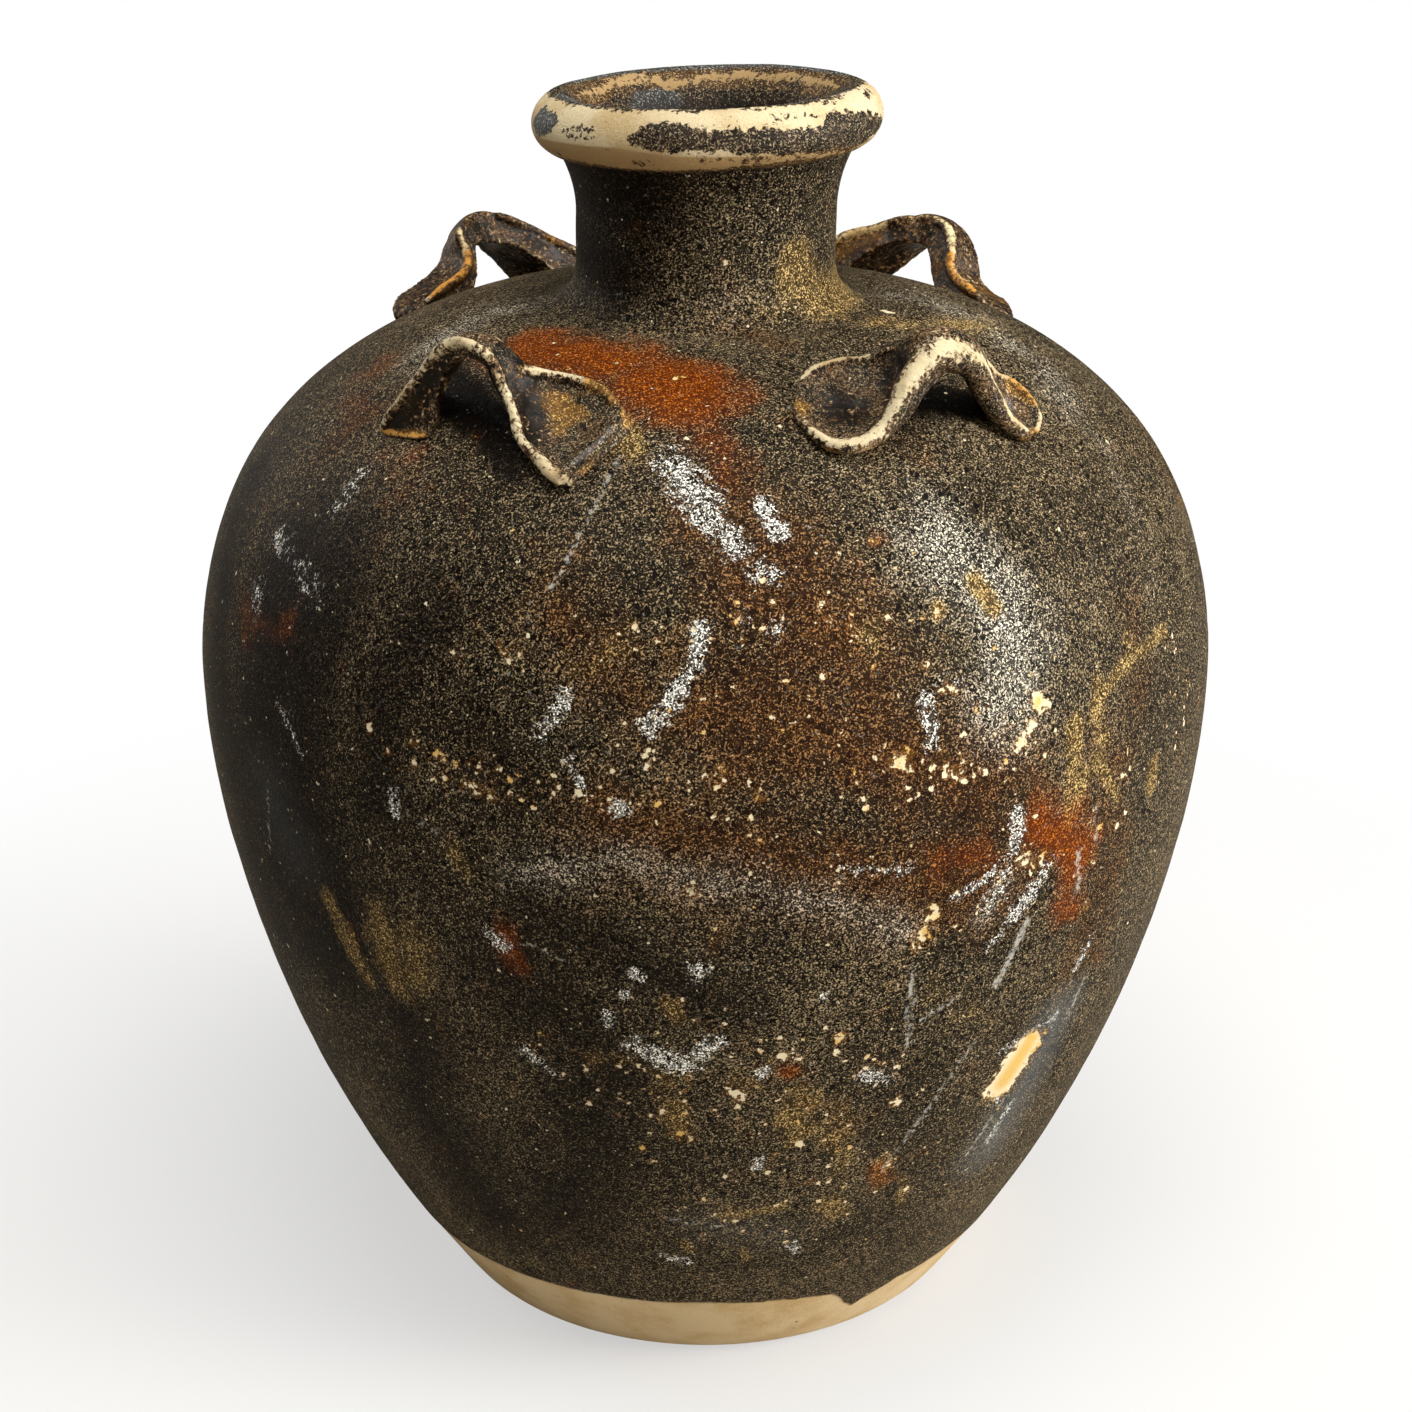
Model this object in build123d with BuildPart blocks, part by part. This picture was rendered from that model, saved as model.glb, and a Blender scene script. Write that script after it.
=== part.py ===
from build123d import *
import os
from math import asin, cos, degrees, radians, sin, sqrt

# Small martaban storage jar: a coil-built and thrown stoneware body in luted sections,
# a collar neck with a rolled rim, and four pinched strap lugs on the shoulder.
# Units are millimetres. The origin is the middle of the flat foot, +Z is up and -Y is the front.

# Body
height = 300.0
foot_radius = 68.8
foot_rounding = 8.0
belly_radius = 123.5
belly_height = 163.0
wall = 7.0
floor_thickness = 9.0
floor_rounding = 14.0

# The outline between foot, belly and neck, as shares of the rise and of the swelling it crosses
haunch_radius_share = 0.951
haunch_height_share = 0.801
shoulder_break_radius_share = 0.911
shoulder_break_height_share = 0.445
shoulder_turn_radius_share = 0.683
shoulder_turn_height_share = 0.751

# Neck, with its rise from the shoulder to the crest of the rim
neck_rise = 49.6
neck_radius = 30.4
neck_wall = 5.4
neck_fillet = 9.5
bore_rounding = 3.0

# Flare and rolled rim: depths are measured down from the crest, swellings out from the neck or the bore
flare_depth = 28.0
flare_swelling = 3.8
rim_depth = 13.5
rim_swelling = 10.0
rim_bulge_depth = 6.8
rim_crest_inset = 5.7
rim_fold_depth = 10.5
lip_depth = 5.0
lip_swelling = 2.6

# Seams between the luted sections: each is a half lap in the middle of the wall
base_seam_height = 24.0
belly_seam_height = 177.0
lap = 4.0
neck_lap = 3.0
neck_seam_margin = 3.0

# Lugs: straps pinched to the shoulder at both ends by a thumb, on a ring inside the belly
lug_ring_share = 0.6397
lug_burial = 2.2
edge_bulge_share = 0.6
# Stations of half a strap from crest to toe. Each holds shares: of the half gap, of the reach past it, of the
# crest's lift, of the widening from crest to pad, of the strap for its edge and its crown, of the depth that
# it is seated in the shoulder, and of the crest's roll
strap_shares = (
    dict(gap=0.00, reach=0.00, lift=1.00, spread=0.00, edge=0.90, crown=0.10, seat=0.0, roll=1.0),
    dict(gap=0.48, reach=0.00, lift=0.85, spread=0.04, edge=0.88, crown=0.08, seat=0.0, roll=0.9),
    dict(gap=0.80, reach=0.00, lift=0.48, spread=0.18, edge=0.84, crown=0.03, seat=0.0, roll=0.5),
    dict(gap=1.05, reach=0.00, lift=0.18, spread=0.60, edge=0.76, crown=-0.12, seat=0.5, roll=0.2),
    dict(gap=1.00, reach=0.42, lift=0.07, spread=1.00, edge=0.66, crown=-0.28, seat=1.0, roll=0.0),
    dict(gap=1.00, reach=0.80, lift=0.05, spread=0.60, edge=0.60, crown=-0.15, seat=1.0, roll=0.0),
    dict(gap=1.00, reach=1.00, lift=0.03, spread=-0.10, edge=0.40, crown=-0.05, seat=1.0, roll=0.0),
)
lug_settings = {
    "front_left_lug": dict(
        azimuth=-33.5, rise=18.0, gap=26.0, strap=5.2,
        crest_width=9.0, crest_roll=-8.0, crest_slide=-3.0,
        left_reach=27.0, left_width=22.0, left_slide=2.0,
        right_reach=33.0, right_width=30.0, right_slide=0.5,
    ),
    "front_right_lug": dict(
        azimuth=36.0, rise=18.0, gap=25.0, strap=7.2,
        crest_width=9.0, crest_roll=32.0, crest_slide=-1.0,
        left_reach=29.0, left_width=26.0, left_slide=-8.0,
        right_reach=27.0, right_width=19.0, right_slide=0.5,
    ),
    "rear_right_lug": dict(
        azimuth=133.0, rise=17.6, gap=17.0, strap=6.6,
        crest_width=9.0, crest_roll=10.0, crest_slide=0.5,
        left_reach=24.5, left_width=21.0, left_slide=0.5,
        right_reach=35.0, right_width=25.0, right_slide=-3.0,
    ),
    "rear_left_lug": dict(
        azimuth=-135.5, rise=18.4, gap=16.5, strap=6.6,
        crest_width=9.0, crest_roll=12.0, crest_slide=0.5,
        left_reach=32.0, left_width=24.0, left_slide=-3.0,
        right_reach=28.5, right_width=22.0, right_slide=1.0,
    ),
}

# Outline of the whole jar, from the axis at the foot to the crest of the rim
shoulder_height = height - neck_rise
lug_ring_radius = lug_ring_share * belly_radius
belly = (belly_radius, belly_height)
haunch = (foot_radius + haunch_radius_share * (belly_radius - foot_radius), haunch_height_share * belly_height)
neck_foot_radius = neck_radius + neck_fillet
shoulder_reach = belly_radius - neck_foot_radius
shoulder_rise = shoulder_height - belly_height
shoulder_break = (
    neck_foot_radius + shoulder_break_radius_share * shoulder_reach,
    belly_height + shoulder_break_height_share * shoulder_rise,
)
shoulder_turn = (
    neck_foot_radius + shoulder_turn_radius_share * shoulder_reach,
    belly_height + shoulder_turn_height_share * shoulder_rise,
)
neck_foot = (neck_foot_radius, shoulder_height)
neck_start = (neck_radius, shoulder_height + neck_fillet)
flare_start = (neck_radius, height - flare_depth)
rim_seat = (neck_radius + flare_swelling, height - rim_depth)
rim_radius = neck_radius + rim_swelling
rim_bulge = (rim_radius, height - rim_bulge_depth)
rim_crest = (rim_radius - rim_crest_inset, height)

with BuildSketch(Plane.XZ) as jar_outline:
    with BuildLine():
        foot = Line((0, 0), (foot_radius, 0))
        upper_flank = TangentArc(belly, haunch, tangent=(0, -1))
        lower_flank = TangentArc(haunch, foot @ 1, tangent=upper_flank % 1)
        upper_belly = TangentArc(belly, shoulder_break, tangent=(0, 1))
        round_shoulder = TangentArc(shoulder_break, shoulder_turn, tangent=upper_belly % 1)
        top_shoulder = TangentArc(shoulder_turn, neck_foot, tangent=round_shoulder % 1)
        TangentArc(neck_start, neck_foot, tangent=(0, -1))
        Line(neck_start, flare_start)
        TangentArc(flare_start, rim_seat, tangent=(0, 1))
        ThreePointArc(rim_seat, rim_bulge, rim_crest)
        Line(rim_crest, (0, height))
        Line((0, height), (0, 0))
    make_face()
    fillet(jar_outline.vertices().group_by(Axis.Y)[0].sort_by(Axis.X)[-1], radius=foot_rounding)

# The hollow: the body's own outline one wall further in, then the bore and the turned-out lip
bore_radius = neck_radius - neck_wall
hollow_top = shoulder_height - wall
fold_height = height - rim_fold_depth
lip_edge = (bore_radius + lip_swelling, height - lip_depth)
with BuildSketch(Plane.XZ) as hollow_outline:
    with BuildLine():
        add([foot, upper_flank, lower_flank, upper_belly, round_shoulder, top_shoulder])
        Line(neck_foot, (0, shoulder_height))
        Line((0, shoulder_height), (0, 0))
    make_face()
    mirror(about=Plane.YZ)
    offset(amount=-wall)
    split(bisect_by=Plane.YZ)
    with Locations((belly_radius / 2, floor_thickness / 2)):
        Rectangle(belly_radius, floor_thickness, mode=Mode.SUBTRACT)
    floor_corner = hollow_outline.vertices().group_by(Axis.Y)[0].sort_by(Axis.X)[-1]
    fillet(floor_corner, radius=floor_rounding)
    with Locations((bore_radius / 2, (hollow_top + height) / 2)):
        Rectangle(bore_radius, height - hollow_top)
    bore_corner = hollow_outline.vertices().sort_by_distance((bore_radius, hollow_top))[0]
    fillet(bore_corner, radius=bore_rounding)
    with BuildLine():
        throat = Line((bore_radius, fold_height), lip_edge)
        TangentArc(lip_edge, rim_crest, tangent=throat % 1)
        Line(rim_crest, (0, height))
        Line((0, height), (0, fold_height))
        Line((0, fold_height), (bore_radius, fold_height))
    make_face()

with BuildSketch(Plane.XZ) as wall_section:
    add(jar_outline.sketch_local)
    add(hollow_outline.sketch_local, mode=Mode.SUBTRACT)


def wall_middle(level):
    """Radius of the middle of the body's wall at a height."""
    arc = lower_flank
    if level > haunch[1]:
        arc = upper_flank
    if level > belly_height:
        arc = upper_belly
    return arc.arc_center.X + sqrt((arc.radius - wall / 2) ** 2 - (level - arc.arc_center.Y) ** 2)


def zone_under(level, clear_radius):
    """Everything under a half-lap seam, whose inner half is one lap higher than its outer half."""
    middle = wall_middle(level + lap / 2)
    with BuildSketch(Plane.XZ) as zone:
        with BuildLine():
            Polyline(
                (0, 0),
                (clear_radius, 0),
                (clear_radius, level),
                (middle, level),
                (middle, level + lap),
                (0, level + lap),
                close=True,
            )
        make_face()
    return zone.sketch_local


clear_radius = belly_radius + wall
base_zone = zone_under(base_seam_height, clear_radius)
lower_zone = zone_under(belly_seam_height, clear_radius)

# The neck stands on a ledge halfway through the shoulder's wall
neck_seam_radius = neck_foot_radius + neck_seam_margin
ledge_height = shoulder_height - wall / 2
with BuildSketch(Plane.XZ) as neck_zone:
    with BuildLine():
        Polyline(
            (0, belly_height),
            (neck_seam_radius - neck_lap, belly_height),
            (neck_seam_radius - neck_lap, ledge_height),
            (neck_seam_radius, ledge_height),
            (neck_seam_radius, height),
            (0, height),
            close=True,
        )
    make_face()

# The rim's roll is folded over the inner half of the neck's edge
rim_fold_radius = (bore_radius + rim_seat[0]) / 2
with BuildSketch(Plane.XZ) as rim_zone:
    with BuildLine():
        Polyline(
            (0, fold_height),
            (rim_fold_radius, fold_height),
            (rim_fold_radius, height - rim_depth),
            (clear_radius, height - rim_depth),
            (clear_radius, height),
            (0, height),
            close=True,
        )
    make_face()

os.makedirs("parts", exist_ok=True)

# Base: a shallow dish that carries the bare foot up to the glaze line
with BuildPart() as base:
    with BuildSketch(Plane.XZ):
        add(wall_section.sketch_local)
        add(base_zone, mode=Mode.INTERSECT)
    revolve(axis=Axis.Z)
base.part.label = "base"
export_step(base.part, "parts/base.step")

# Lower wall: from the base to just over the belly
with BuildPart() as lower_wall:
    with BuildSketch(Plane.XZ):
        add(wall_section.sketch_local)
        add(lower_zone, mode=Mode.INTERSECT)
        add(base_zone, mode=Mode.SUBTRACT)
    revolve(axis=Axis.Z)
lower_wall.part.label = "lower_wall"
export_step(lower_wall.part, "parts/lower_wall.step")

# Upper wall: the shoulder, thrown apart and luted on upside down
with BuildPart() as upper_wall:
    with BuildSketch(Plane.XZ):
        add(wall_section.sketch_local)
        add(lower_zone, mode=Mode.SUBTRACT)
        add(neck_zone.sketch_local, mode=Mode.SUBTRACT)
        add(rim_zone.sketch_local, mode=Mode.SUBTRACT)
    revolve(axis=Axis.Z)
upper_wall.part.label = "upper_wall"
export_step(upper_wall.part, "parts/upper_wall.step")

# Neck collar, with the bore that takes a stopper
with BuildPart() as neck_collar:
    with BuildSketch(Plane.XZ):
        add(wall_section.sketch_local)
        add(neck_zone.sketch_local, mode=Mode.INTERSECT)
        add(rim_zone.sketch_local, mode=Mode.SUBTRACT)
    revolve(axis=Axis.Z)
neck_collar.part.label = "neck_collar"
export_step(neck_collar.part, "parts/neck_collar.step")

# Rolled rim
with BuildPart() as rolled_rim:
    with BuildSketch(Plane.XZ):
        add(wall_section.sketch_local)
        add(rim_zone.sketch_local, mode=Mode.INTERSECT)
    revolve(axis=Axis.Z)
rolled_rim.part.label = "rolled_rim"
export_step(rolled_rim.part, "parts/rolled_rim.step")

# The whole shape without its hollow, which cuts the seats of the lugs
with BuildPart() as jar_form:
    with BuildSketch(Plane.XZ):
        add(jar_outline.sketch_local)
    revolve(axis=Axis.Z)


def shoulder_frame(azimuth, slide, lift):
    """Point over the shoulder and the two directions there: away from the jar, and up the slope to the neck."""
    centre, radius = top_shoulder.arc_center, top_shoulder.radius
    tilt = asin((lug_ring_radius - centre.X) / radius) + slide / radius
    out = Vector(sin(radians(azimuth)), -cos(radians(azimuth)), 0)
    up = Vector(0, 0, 1)
    point = out * (centre.X + (radius + lift) * sin(tilt)) + up * (centre.Y + (radius + lift) * cos(tilt))
    return point, out * sin(tilt) + up * cos(tilt), up * sin(tilt) - out * cos(tilt)


def strap_stations(size):
    """Stations along a strap, from its left toe over the crest to its right toe."""
    crest_lift = size["rise"] - size["strap"] / 2
    heel = (size["gap"] + size["strap"]) / 2
    stations = []
    for side, pad in ((-1, "left"), (1, "right")):
        widening = size[pad + "_width"] - size["crest_width"]
        for share in strap_shares[max(side, 0):]:
            along = side * (share["gap"] * heel + share["reach"] * (size[pad + "_reach"] - heel))
            lift = share["lift"] * crest_lift
            edge = share["edge"] * size["strap"]
            on_pad = max(share["spread"], share["seat"])
            stations.append(
                dict(
                    azimuth=size["azimuth"] + degrees(along / lug_ring_radius),
                    along=along,
                    lift=lift,
                    slide=(1 - on_pad) * size["crest_slide"] + on_pad * size[pad + "_slide"],
                    half_width=(size["crest_width"] + share["spread"] * widening) / 2,
                    top=edge / 2,
                    bottom=(1 - share["seat"]) * edge / 2 + share["seat"] * (lift + lug_burial),
                    crown=share["crown"] * size["strap"],
                    roll=share["roll"] * size["crest_roll"],
                )
            )
    return sorted(stations, key=lambda station: station["along"])


def strap_section(place, station):
    """One cross-section of a strap: four arcs, hollowed on top where a thumb pressed it."""
    half_width, top, bottom = station["half_width"], station["top"], station["bottom"]
    bulge = edge_bulge_share * top
    with BuildSketch(place) as section:
        with BuildLine():
            ThreePointArc((-half_width, top), (0, top + station["crown"]), (half_width, top))
            ThreePointArc((half_width, top), (half_width + bulge, (top - bottom) / 2), (half_width, -bottom))
            ThreePointArc((half_width, -bottom), (0, -bottom - bulge), (-half_width, -bottom))
            ThreePointArc((-half_width, -bottom), (-half_width - bulge, (top - bottom) / 2), (-half_width, top))
        make_face()
    return section.sketch


for name, size in lug_settings.items():
    stations = strap_stations(size)
    frames = [shoulder_frame(station["azimuth"], station["slide"], station["lift"]) for station in stations]
    points = [frame[0] for frame in frames]
    sections = []
    for index, station in enumerate(stations):
        before, after = points[max(index - 1, 0)], points[min(index + 1, len(points) - 1)]
        roll = radians(station["roll"])
        across = frames[index][2] * cos(roll) + frames[index][1] * sin(roll)
        place = Plane(origin=points[index], x_dir=across, z_dir=after - before)
        sections.append(strap_section(place, station))
    with BuildPart() as lug:
        loft(sections)
        add(jar_form.part, mode=Mode.SUBTRACT)
    lug.part.label = name
    export_step(lug.part, f"parts/{name}.step")
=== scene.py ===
import math

import bpy
import numpy as np
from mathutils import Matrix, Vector, noise


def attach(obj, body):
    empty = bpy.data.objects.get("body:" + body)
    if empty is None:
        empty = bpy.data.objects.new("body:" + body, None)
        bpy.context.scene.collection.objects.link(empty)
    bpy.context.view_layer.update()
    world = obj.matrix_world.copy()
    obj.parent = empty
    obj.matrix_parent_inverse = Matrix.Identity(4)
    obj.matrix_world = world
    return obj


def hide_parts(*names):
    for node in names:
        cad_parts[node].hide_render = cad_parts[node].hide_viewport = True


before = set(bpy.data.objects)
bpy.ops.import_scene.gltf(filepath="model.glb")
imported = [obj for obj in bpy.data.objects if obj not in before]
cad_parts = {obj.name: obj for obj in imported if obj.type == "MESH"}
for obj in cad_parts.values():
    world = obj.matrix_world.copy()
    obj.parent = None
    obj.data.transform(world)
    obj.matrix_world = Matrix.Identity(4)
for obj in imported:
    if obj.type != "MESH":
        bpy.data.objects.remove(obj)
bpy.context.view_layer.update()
print("frame loaded,", len(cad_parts), "CAD nodes")

mm = 0.001
scene = bpy.context.scene


def addObject(name, data):
    thing = bpy.data.objects.new(name, data)
    scene.collection.objects.link(thing)
    return thing


# Node helpers

class Wire:
    # One value on its way through a node tree: sums of wires are written as sums and become Math nodes
    def __init__(self, socket):
        self.socket, self.tree = socket, socket.id_data

    def __add__(self, other):
        return mathNode(self.tree, "ADD", self, other)

    def __radd__(self, other):
        return mathNode(self.tree, "ADD", other, self)

    def __sub__(self, other):
        return mathNode(self.tree, "SUBTRACT", self, other)

    def __rsub__(self, other):
        return mathNode(self.tree, "SUBTRACT", other, self)

    def __mul__(self, other):
        return mathNode(self.tree, "MULTIPLY", self, other)

    def __truediv__(self, other):
        return mathNode(self.tree, "DIVIDE", self, other)

    def __pow__(self, other):
        return mathNode(self.tree, "POWER", self, other)

    def __abs__(self):
        return mathNode(self.tree, "ABSOLUTE", self)


def plug(value, socket):
    if isinstance(value, Wire):
        value.tree.links.new(value.socket, socket)
    else:
        socket.default_value = value


def addNode(tree, kind, inputs=None, **settings):
    node = tree.nodes.new(kind)
    for name, value in settings.items():
        setattr(node, name, value)
    for name, value in (inputs or {}).items():
        plug(value, node.inputs[name])
    return node


def wireOf(tree, kind, inputs=None, output=0, **settings):
    return Wire(addNode(tree, kind, inputs, **settings).outputs[output])


def wiresOf(node):
    return {socket.name: Wire(socket) for socket in node.outputs}


def mathNode(tree, operation, first, second=0.0, clamp=False):
    return wireOf(tree, "ShaderNodeMath", {0: first, 1: second}, operation=operation, use_clamp=clamp)


def largest(wire, *others):
    for other in others:
        wire = mathNode(wire.tree, "MAXIMUM", wire, other)
    return wire


def mixColours(tree, share, first, second, blend="MIX"):
    return wireOf(tree, "ShaderNodeMix", {0: share, 6: first, 7: second}, 2, data_type="RGBA", blend_type=blend)


def ramp(wire, low, high, **more):
    inputs = {"Value": wire, "From Min": low, "From Max": high, **more}
    return wireOf(wire.tree, "ShaderNodeMapRange", inputs, interpolation_type="SMOOTHSTEP", clamp=True)


def noiseNode(place, scale, detail=2.0, roughness=0.5, distortion=0.0):
    inputs = {"Vector": place, "Scale": scale, "Detail": detail, "Roughness": roughness, "Distortion": distortion}
    return wireOf(place.tree, "ShaderNodeTexNoise", inputs)


def newMaterial(name):
    material = bpy.data.materials.new(name)
    material.use_nodes = True
    tree = material.node_tree
    return material, tree, tree.nodes["Principled BSDF"], wireOf(tree, "ShaderNodeTexCoord", output="Object")


def attributeShares(tree, name):
    found = wiresOf(addNode(tree, "ShaderNodeAttribute", attribute_name=name))
    parts = wiresOf(addNode(tree, "ShaderNodeSeparateColor", {"Color": found["Color"]}))
    return parts["Red"], parts["Green"], parts["Blue"], found["Alpha"]


# Camera, floor and light

cameraView = {
    "place": (0.0, -560 * mm, 380.02 * mm),
    "downTilt": 22.66,       # degrees below the horizon
    "photoWidth": 1412,      # pixels
    "focalPixels": 2394.27,  # focal length in those pixels
    "sensor": 36.0,
    "seenFrom": 0.01,        # metres
    "seenTo": 50,
}


def makeCamera(view):
    lens = bpy.data.cameras.new("photoCamera")
    lens.sensor_width = view["sensor"]
    lens.lens = view["sensor"] * view["focalPixels"] / view["photoWidth"]
    lens.clip_start, lens.clip_end = view["seenFrom"], view["seenTo"]
    camera = addObject("photoCamera", lens)
    camera.location = view["place"]
    camera.rotation_euler = (math.radians(90 - view["downTilt"]), 0, 0)
    scene.camera = camera


studio = {
    "floorSize": 6.0,
    "floorColour": (0.80, 0.80, 0.79, 1),
    "floorBounce": (0.46, 0.43, 0.38, 1),  # what the jar gets back from the floor, as from a table
    "floorRoughness": 0.9,
    "floorShine": 0.1,
    "shadowFade": (0.16, 0.42),            # metres from the jar's axis over which the seen floor goes to white
    "shadowKept": 0.55,
    "skyStrength": 0.08,
    "skyColour": (1.0, 1.0, 1.0, 1),
}

# Soft boxes: where they stand, what they aim at, their size in metres, power in watts and colour
softBoxes = {
    "windowRight": ((1.30, -0.36, 0.56), (0.03, -0.06, 0.19), (0.55, 0.80), 22, (1.0, 0.98, 0.94)),
    "skylight": ((0.06, -0.34, 1.50), (0.0, 0.0, 0.22), (1.0, 0.8), 19, (1.0, 0.97, 0.91)),
    "frontFill": ((0.75, -1.80, 0.25), (0.0, 0.0, 0.08), (1.2, 0.5), 8.0, (1.0, 0.95, 0.87)),
    "rearFill": ((-1.30, 0.90, 0.70), (0.0, 0.0, 0.16), (0.9, 0.9), 6, (1.0, 0.98, 0.95)),
}


def lightUp():
    world = bpy.data.worlds.new("paleStudio")
    world.use_nodes = True
    scene.world = world
    background = world.node_tree.nodes["Background"]
    seen = wireOf(world.node_tree, "ShaderNodeLightPath", output="Is Camera Ray")
    plug(studio["skyColour"], background.inputs["Color"])
    plug(largest(seen, studio["skyStrength"]), background.inputs["Strength"])
    for name, (place, aim, size, power, colour) in softBoxes.items():
        lamp = bpy.data.lights.new(name, "AREA")
        lamp.shape = "RECTANGLE"
        lamp.size, lamp.size_y = size
        lamp.energy, lamp.color = power, colour
        holder = addObject(name, lamp)
        holder.location = place
        holder.rotation_euler = (Vector(aim) - Vector(place)).to_track_quat("-Z", "Y").to_euler()


def layFloor():
    half = studio["floorSize"] / 2
    mesh = bpy.data.meshes.new("floor")
    mesh.from_pydata([(-half, -half, 0), (half, -half, 0), (half, half, 0), (-half, half, 0)], [], [(0, 1, 2, 3)])
    floor = addObject("floor", mesh)
    paper, tree, surface, place = newMaterial("palePaper")
    plug(studio["floorRoughness"], surface.inputs["Roughness"])
    plug(studio["floorShine"], surface.inputs["Specular IOR Level"])
    # The camera sees the paper as white, with the jar's shadow left in it near the foot
    away = wireOf(tree, "ShaderNodeVectorMath", {0: place}, "Value", operation="LENGTH")
    fade = ramp(away, *studio["shadowFade"], **{"To Min": studio["shadowKept"]})
    seen = wireOf(tree, "ShaderNodeLightPath", output="Is Camera Ray")
    plug(mixColours(tree, seen, studio["floorBounce"], studio["floorColour"]), surface.inputs["Base Color"])
    white = wireOf(tree, "ShaderNodeEmission")
    mixed = wireOf(tree, "ShaderNodeMixShader", {0: fade * seen, 1: Wire(surface.outputs[0]), 2: white})
    plug(mixed, tree.nodes["Material Output"].inputs["Surface"])
    mesh.materials.append(paper)


makeCamera(cameraView)
lightUp()
layFloor()
print("camera, floor and lights made")


# Effects that the glazes share

def newGroup(name, **inputs):
    # An input without a value is a place, one with a number is a share or a size, and one with four is a colour
    group = bpy.data.node_groups.new(name, "ShaderNodeTree")
    for label, value in inputs.items():
        kind = "Vector" if value is None else "Color" if isinstance(value, tuple) else "Float"
        socket = group.interface.new_socket(label, in_out="INPUT", socket_type="NodeSocket" + kind)
        if value is not None:
            socket.default_value = value
    given = wiresOf(addNode(group, "NodeGroupInput"))
    return group, *(given[label] for label in inputs)


def closeGroup(group, **outputs):
    for label in outputs:
        kind = "NodeSocketColor" if label == "Color" else "NodeSocketFloat"
        group.interface.new_socket(label, in_out="OUTPUT", socket_type=kind)
    addNode(group, "NodeGroupOutput", outputs)
    return group


def useGroup(group, place, **inputs):
    return wiresOf(addNode(place.tree, "ShaderNodeGroup", {"Place": place, **inputs}, node_tree=group))


def makeGlazeGroup():
    # Matt crystal glaze: pale worm-like grains a quarter of a millimetre wide on a dark ground
    group, place, scale, cover, ground, pale = newGroup("crystalGlaze", Place=None, Scale=900.0, Cover=0.45,
                                                        Ground=(0.01, 0.008, 0.006, 1), Pale=(0.2, 0.17, 0.13, 1))
    wander = noiseNode(place, scale, roughness=0.55, distortion=0.9)
    fine = noiseNode(place, scale * 2.3, detail=1.0)
    worm = mathNode(group, "SUBTRACT", 1.0, abs(wander - 0.5) / 0.10, clamp=True)
    value = worm * 0.48 + fine
    edge = 0.96 - cover * 0.50
    grain = ramp(value, edge, edge + 0.13)
    # Pale grains brightened at random here and there: painted glints
    glow = 0.42 + ramp(fine, 0.42, 0.70) * 1.45
    glowColour = wireOf(group, "ShaderNodeCombineColor", {"Red": glow, "Green": glow, "Blue": glow})
    lit = mixColours(group, 1.0, pale, glowColour, "MULTIPLY")
    murky = mixColours(group, ramp(wander, 0.40, 0.72) * 0.07, ground, pale)
    return closeGroup(group, Color=mixColours(group, grain, murky, lit), Grain=grain, Height=value)


def makeWearGroup():
    # Turns a soft share into a worn patch with a ragged edge
    group, place, share, scale, raggedness, edge = newGroup("raggedWear", Place=None, Share=0.0, Scale=260.0,
                                                            Raggedness=0.5, Edge=0.06)
    rag = noiseNode(place, scale, detail=4.0, roughness=0.6, distortion=0.4)
    broken = share + (rag - 0.5) * raggedness * 2.0
    return closeGroup(group, Mask=ramp(broken, 0.5 - edge, 0.5 + edge))


def makeFleckGroup():
    # Scattered star-shaped chips: more and larger where the share is high
    group, place, share, scale, size = newGroup("clayFlecks", Place=None, Share=0.0, Scale=230.0, Size=0.30)
    cell = wiresOf(addNode(group, "ShaderNodeTexVoronoi", {"Vector": place, "Scale": scale}))
    luck = wiresOf(addNode(group, "ShaderNodeSeparateColor", {"Color": cell["Color"]}))
    ragged = noiseNode(place, scale * 2.6, detail=3.0, roughness=0.65)
    chosen = ramp(share - luck["Green"], 0.0, 0.12)
    reach = (luck["Red"] ** 2.5 + 0.30) * size * chosen
    inside = reach - (cell["Distance"] + (ragged - 0.5) * 1.15)
    return closeGroup(group, Mask=ramp(inside, 0.0, 0.05), Halo=ramp(inside, -0.16, 0.02) * chosen)


def makeClayGroup():
    # Bare stoneware: buff, with cream and ochre clouds and a few dark specks
    group, place, light, deep = newGroup("bareClay", Place=None, Light=(0.62, 0.50, 0.33, 1),
                                         Deep=(0.44, 0.29, 0.14, 1))
    sandColour, speckColour = (0.80, 0.70, 0.52, 1), (0.07, 0.035, 0.015, 1)
    cloud = ramp(noiseNode(place, 70.0, detail=5.0, roughness=0.6), 0.40, 0.68)
    sand = noiseNode(place, 1100.0)
    speck = ramp(noiseNode(place, 420.0), 0.71, 0.76)
    colour = mixColours(group, cloud, light, deep)
    colour = mixColours(group, ramp(sand, 0.50, 0.75) * 0.30, colour, sandColour)
    return closeGroup(group, Color=mixColours(group, speck * 0.75, colour, speckColour), Height=sand)


glazeGroup = makeGlazeGroup()
wearGroup = makeWearGroup()
fleckGroup = makeFleckGroup()
clayGroup = makeClayGroup()


def shareOf(share, patch, swing, low, high):
    # A painted share broken up by a noise patch
    return ramp(share + (patch - 0.5) * swing, low, high)


def tint(tree, share, colours, more):
    # A ground and a grain colour, both taken some way to another pair
    return [mixColours(tree, share, colour, other) for colour, other in zip(colours, more)]


def finishSurface(surface, colour, rough, shine, height):
    bump = {"Height": height, "Distance": glazeLook["grainBump"], "Strength": 1.0}
    inputs = {"Base Color": colour, "Roughness": rough, "Specular IOR Level": shine,
              "Normal": wireOf(surface.id_data, "ShaderNodeBump", bump)}
    for name, value in inputs.items():
        plug(value, surface.inputs[name])


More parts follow.
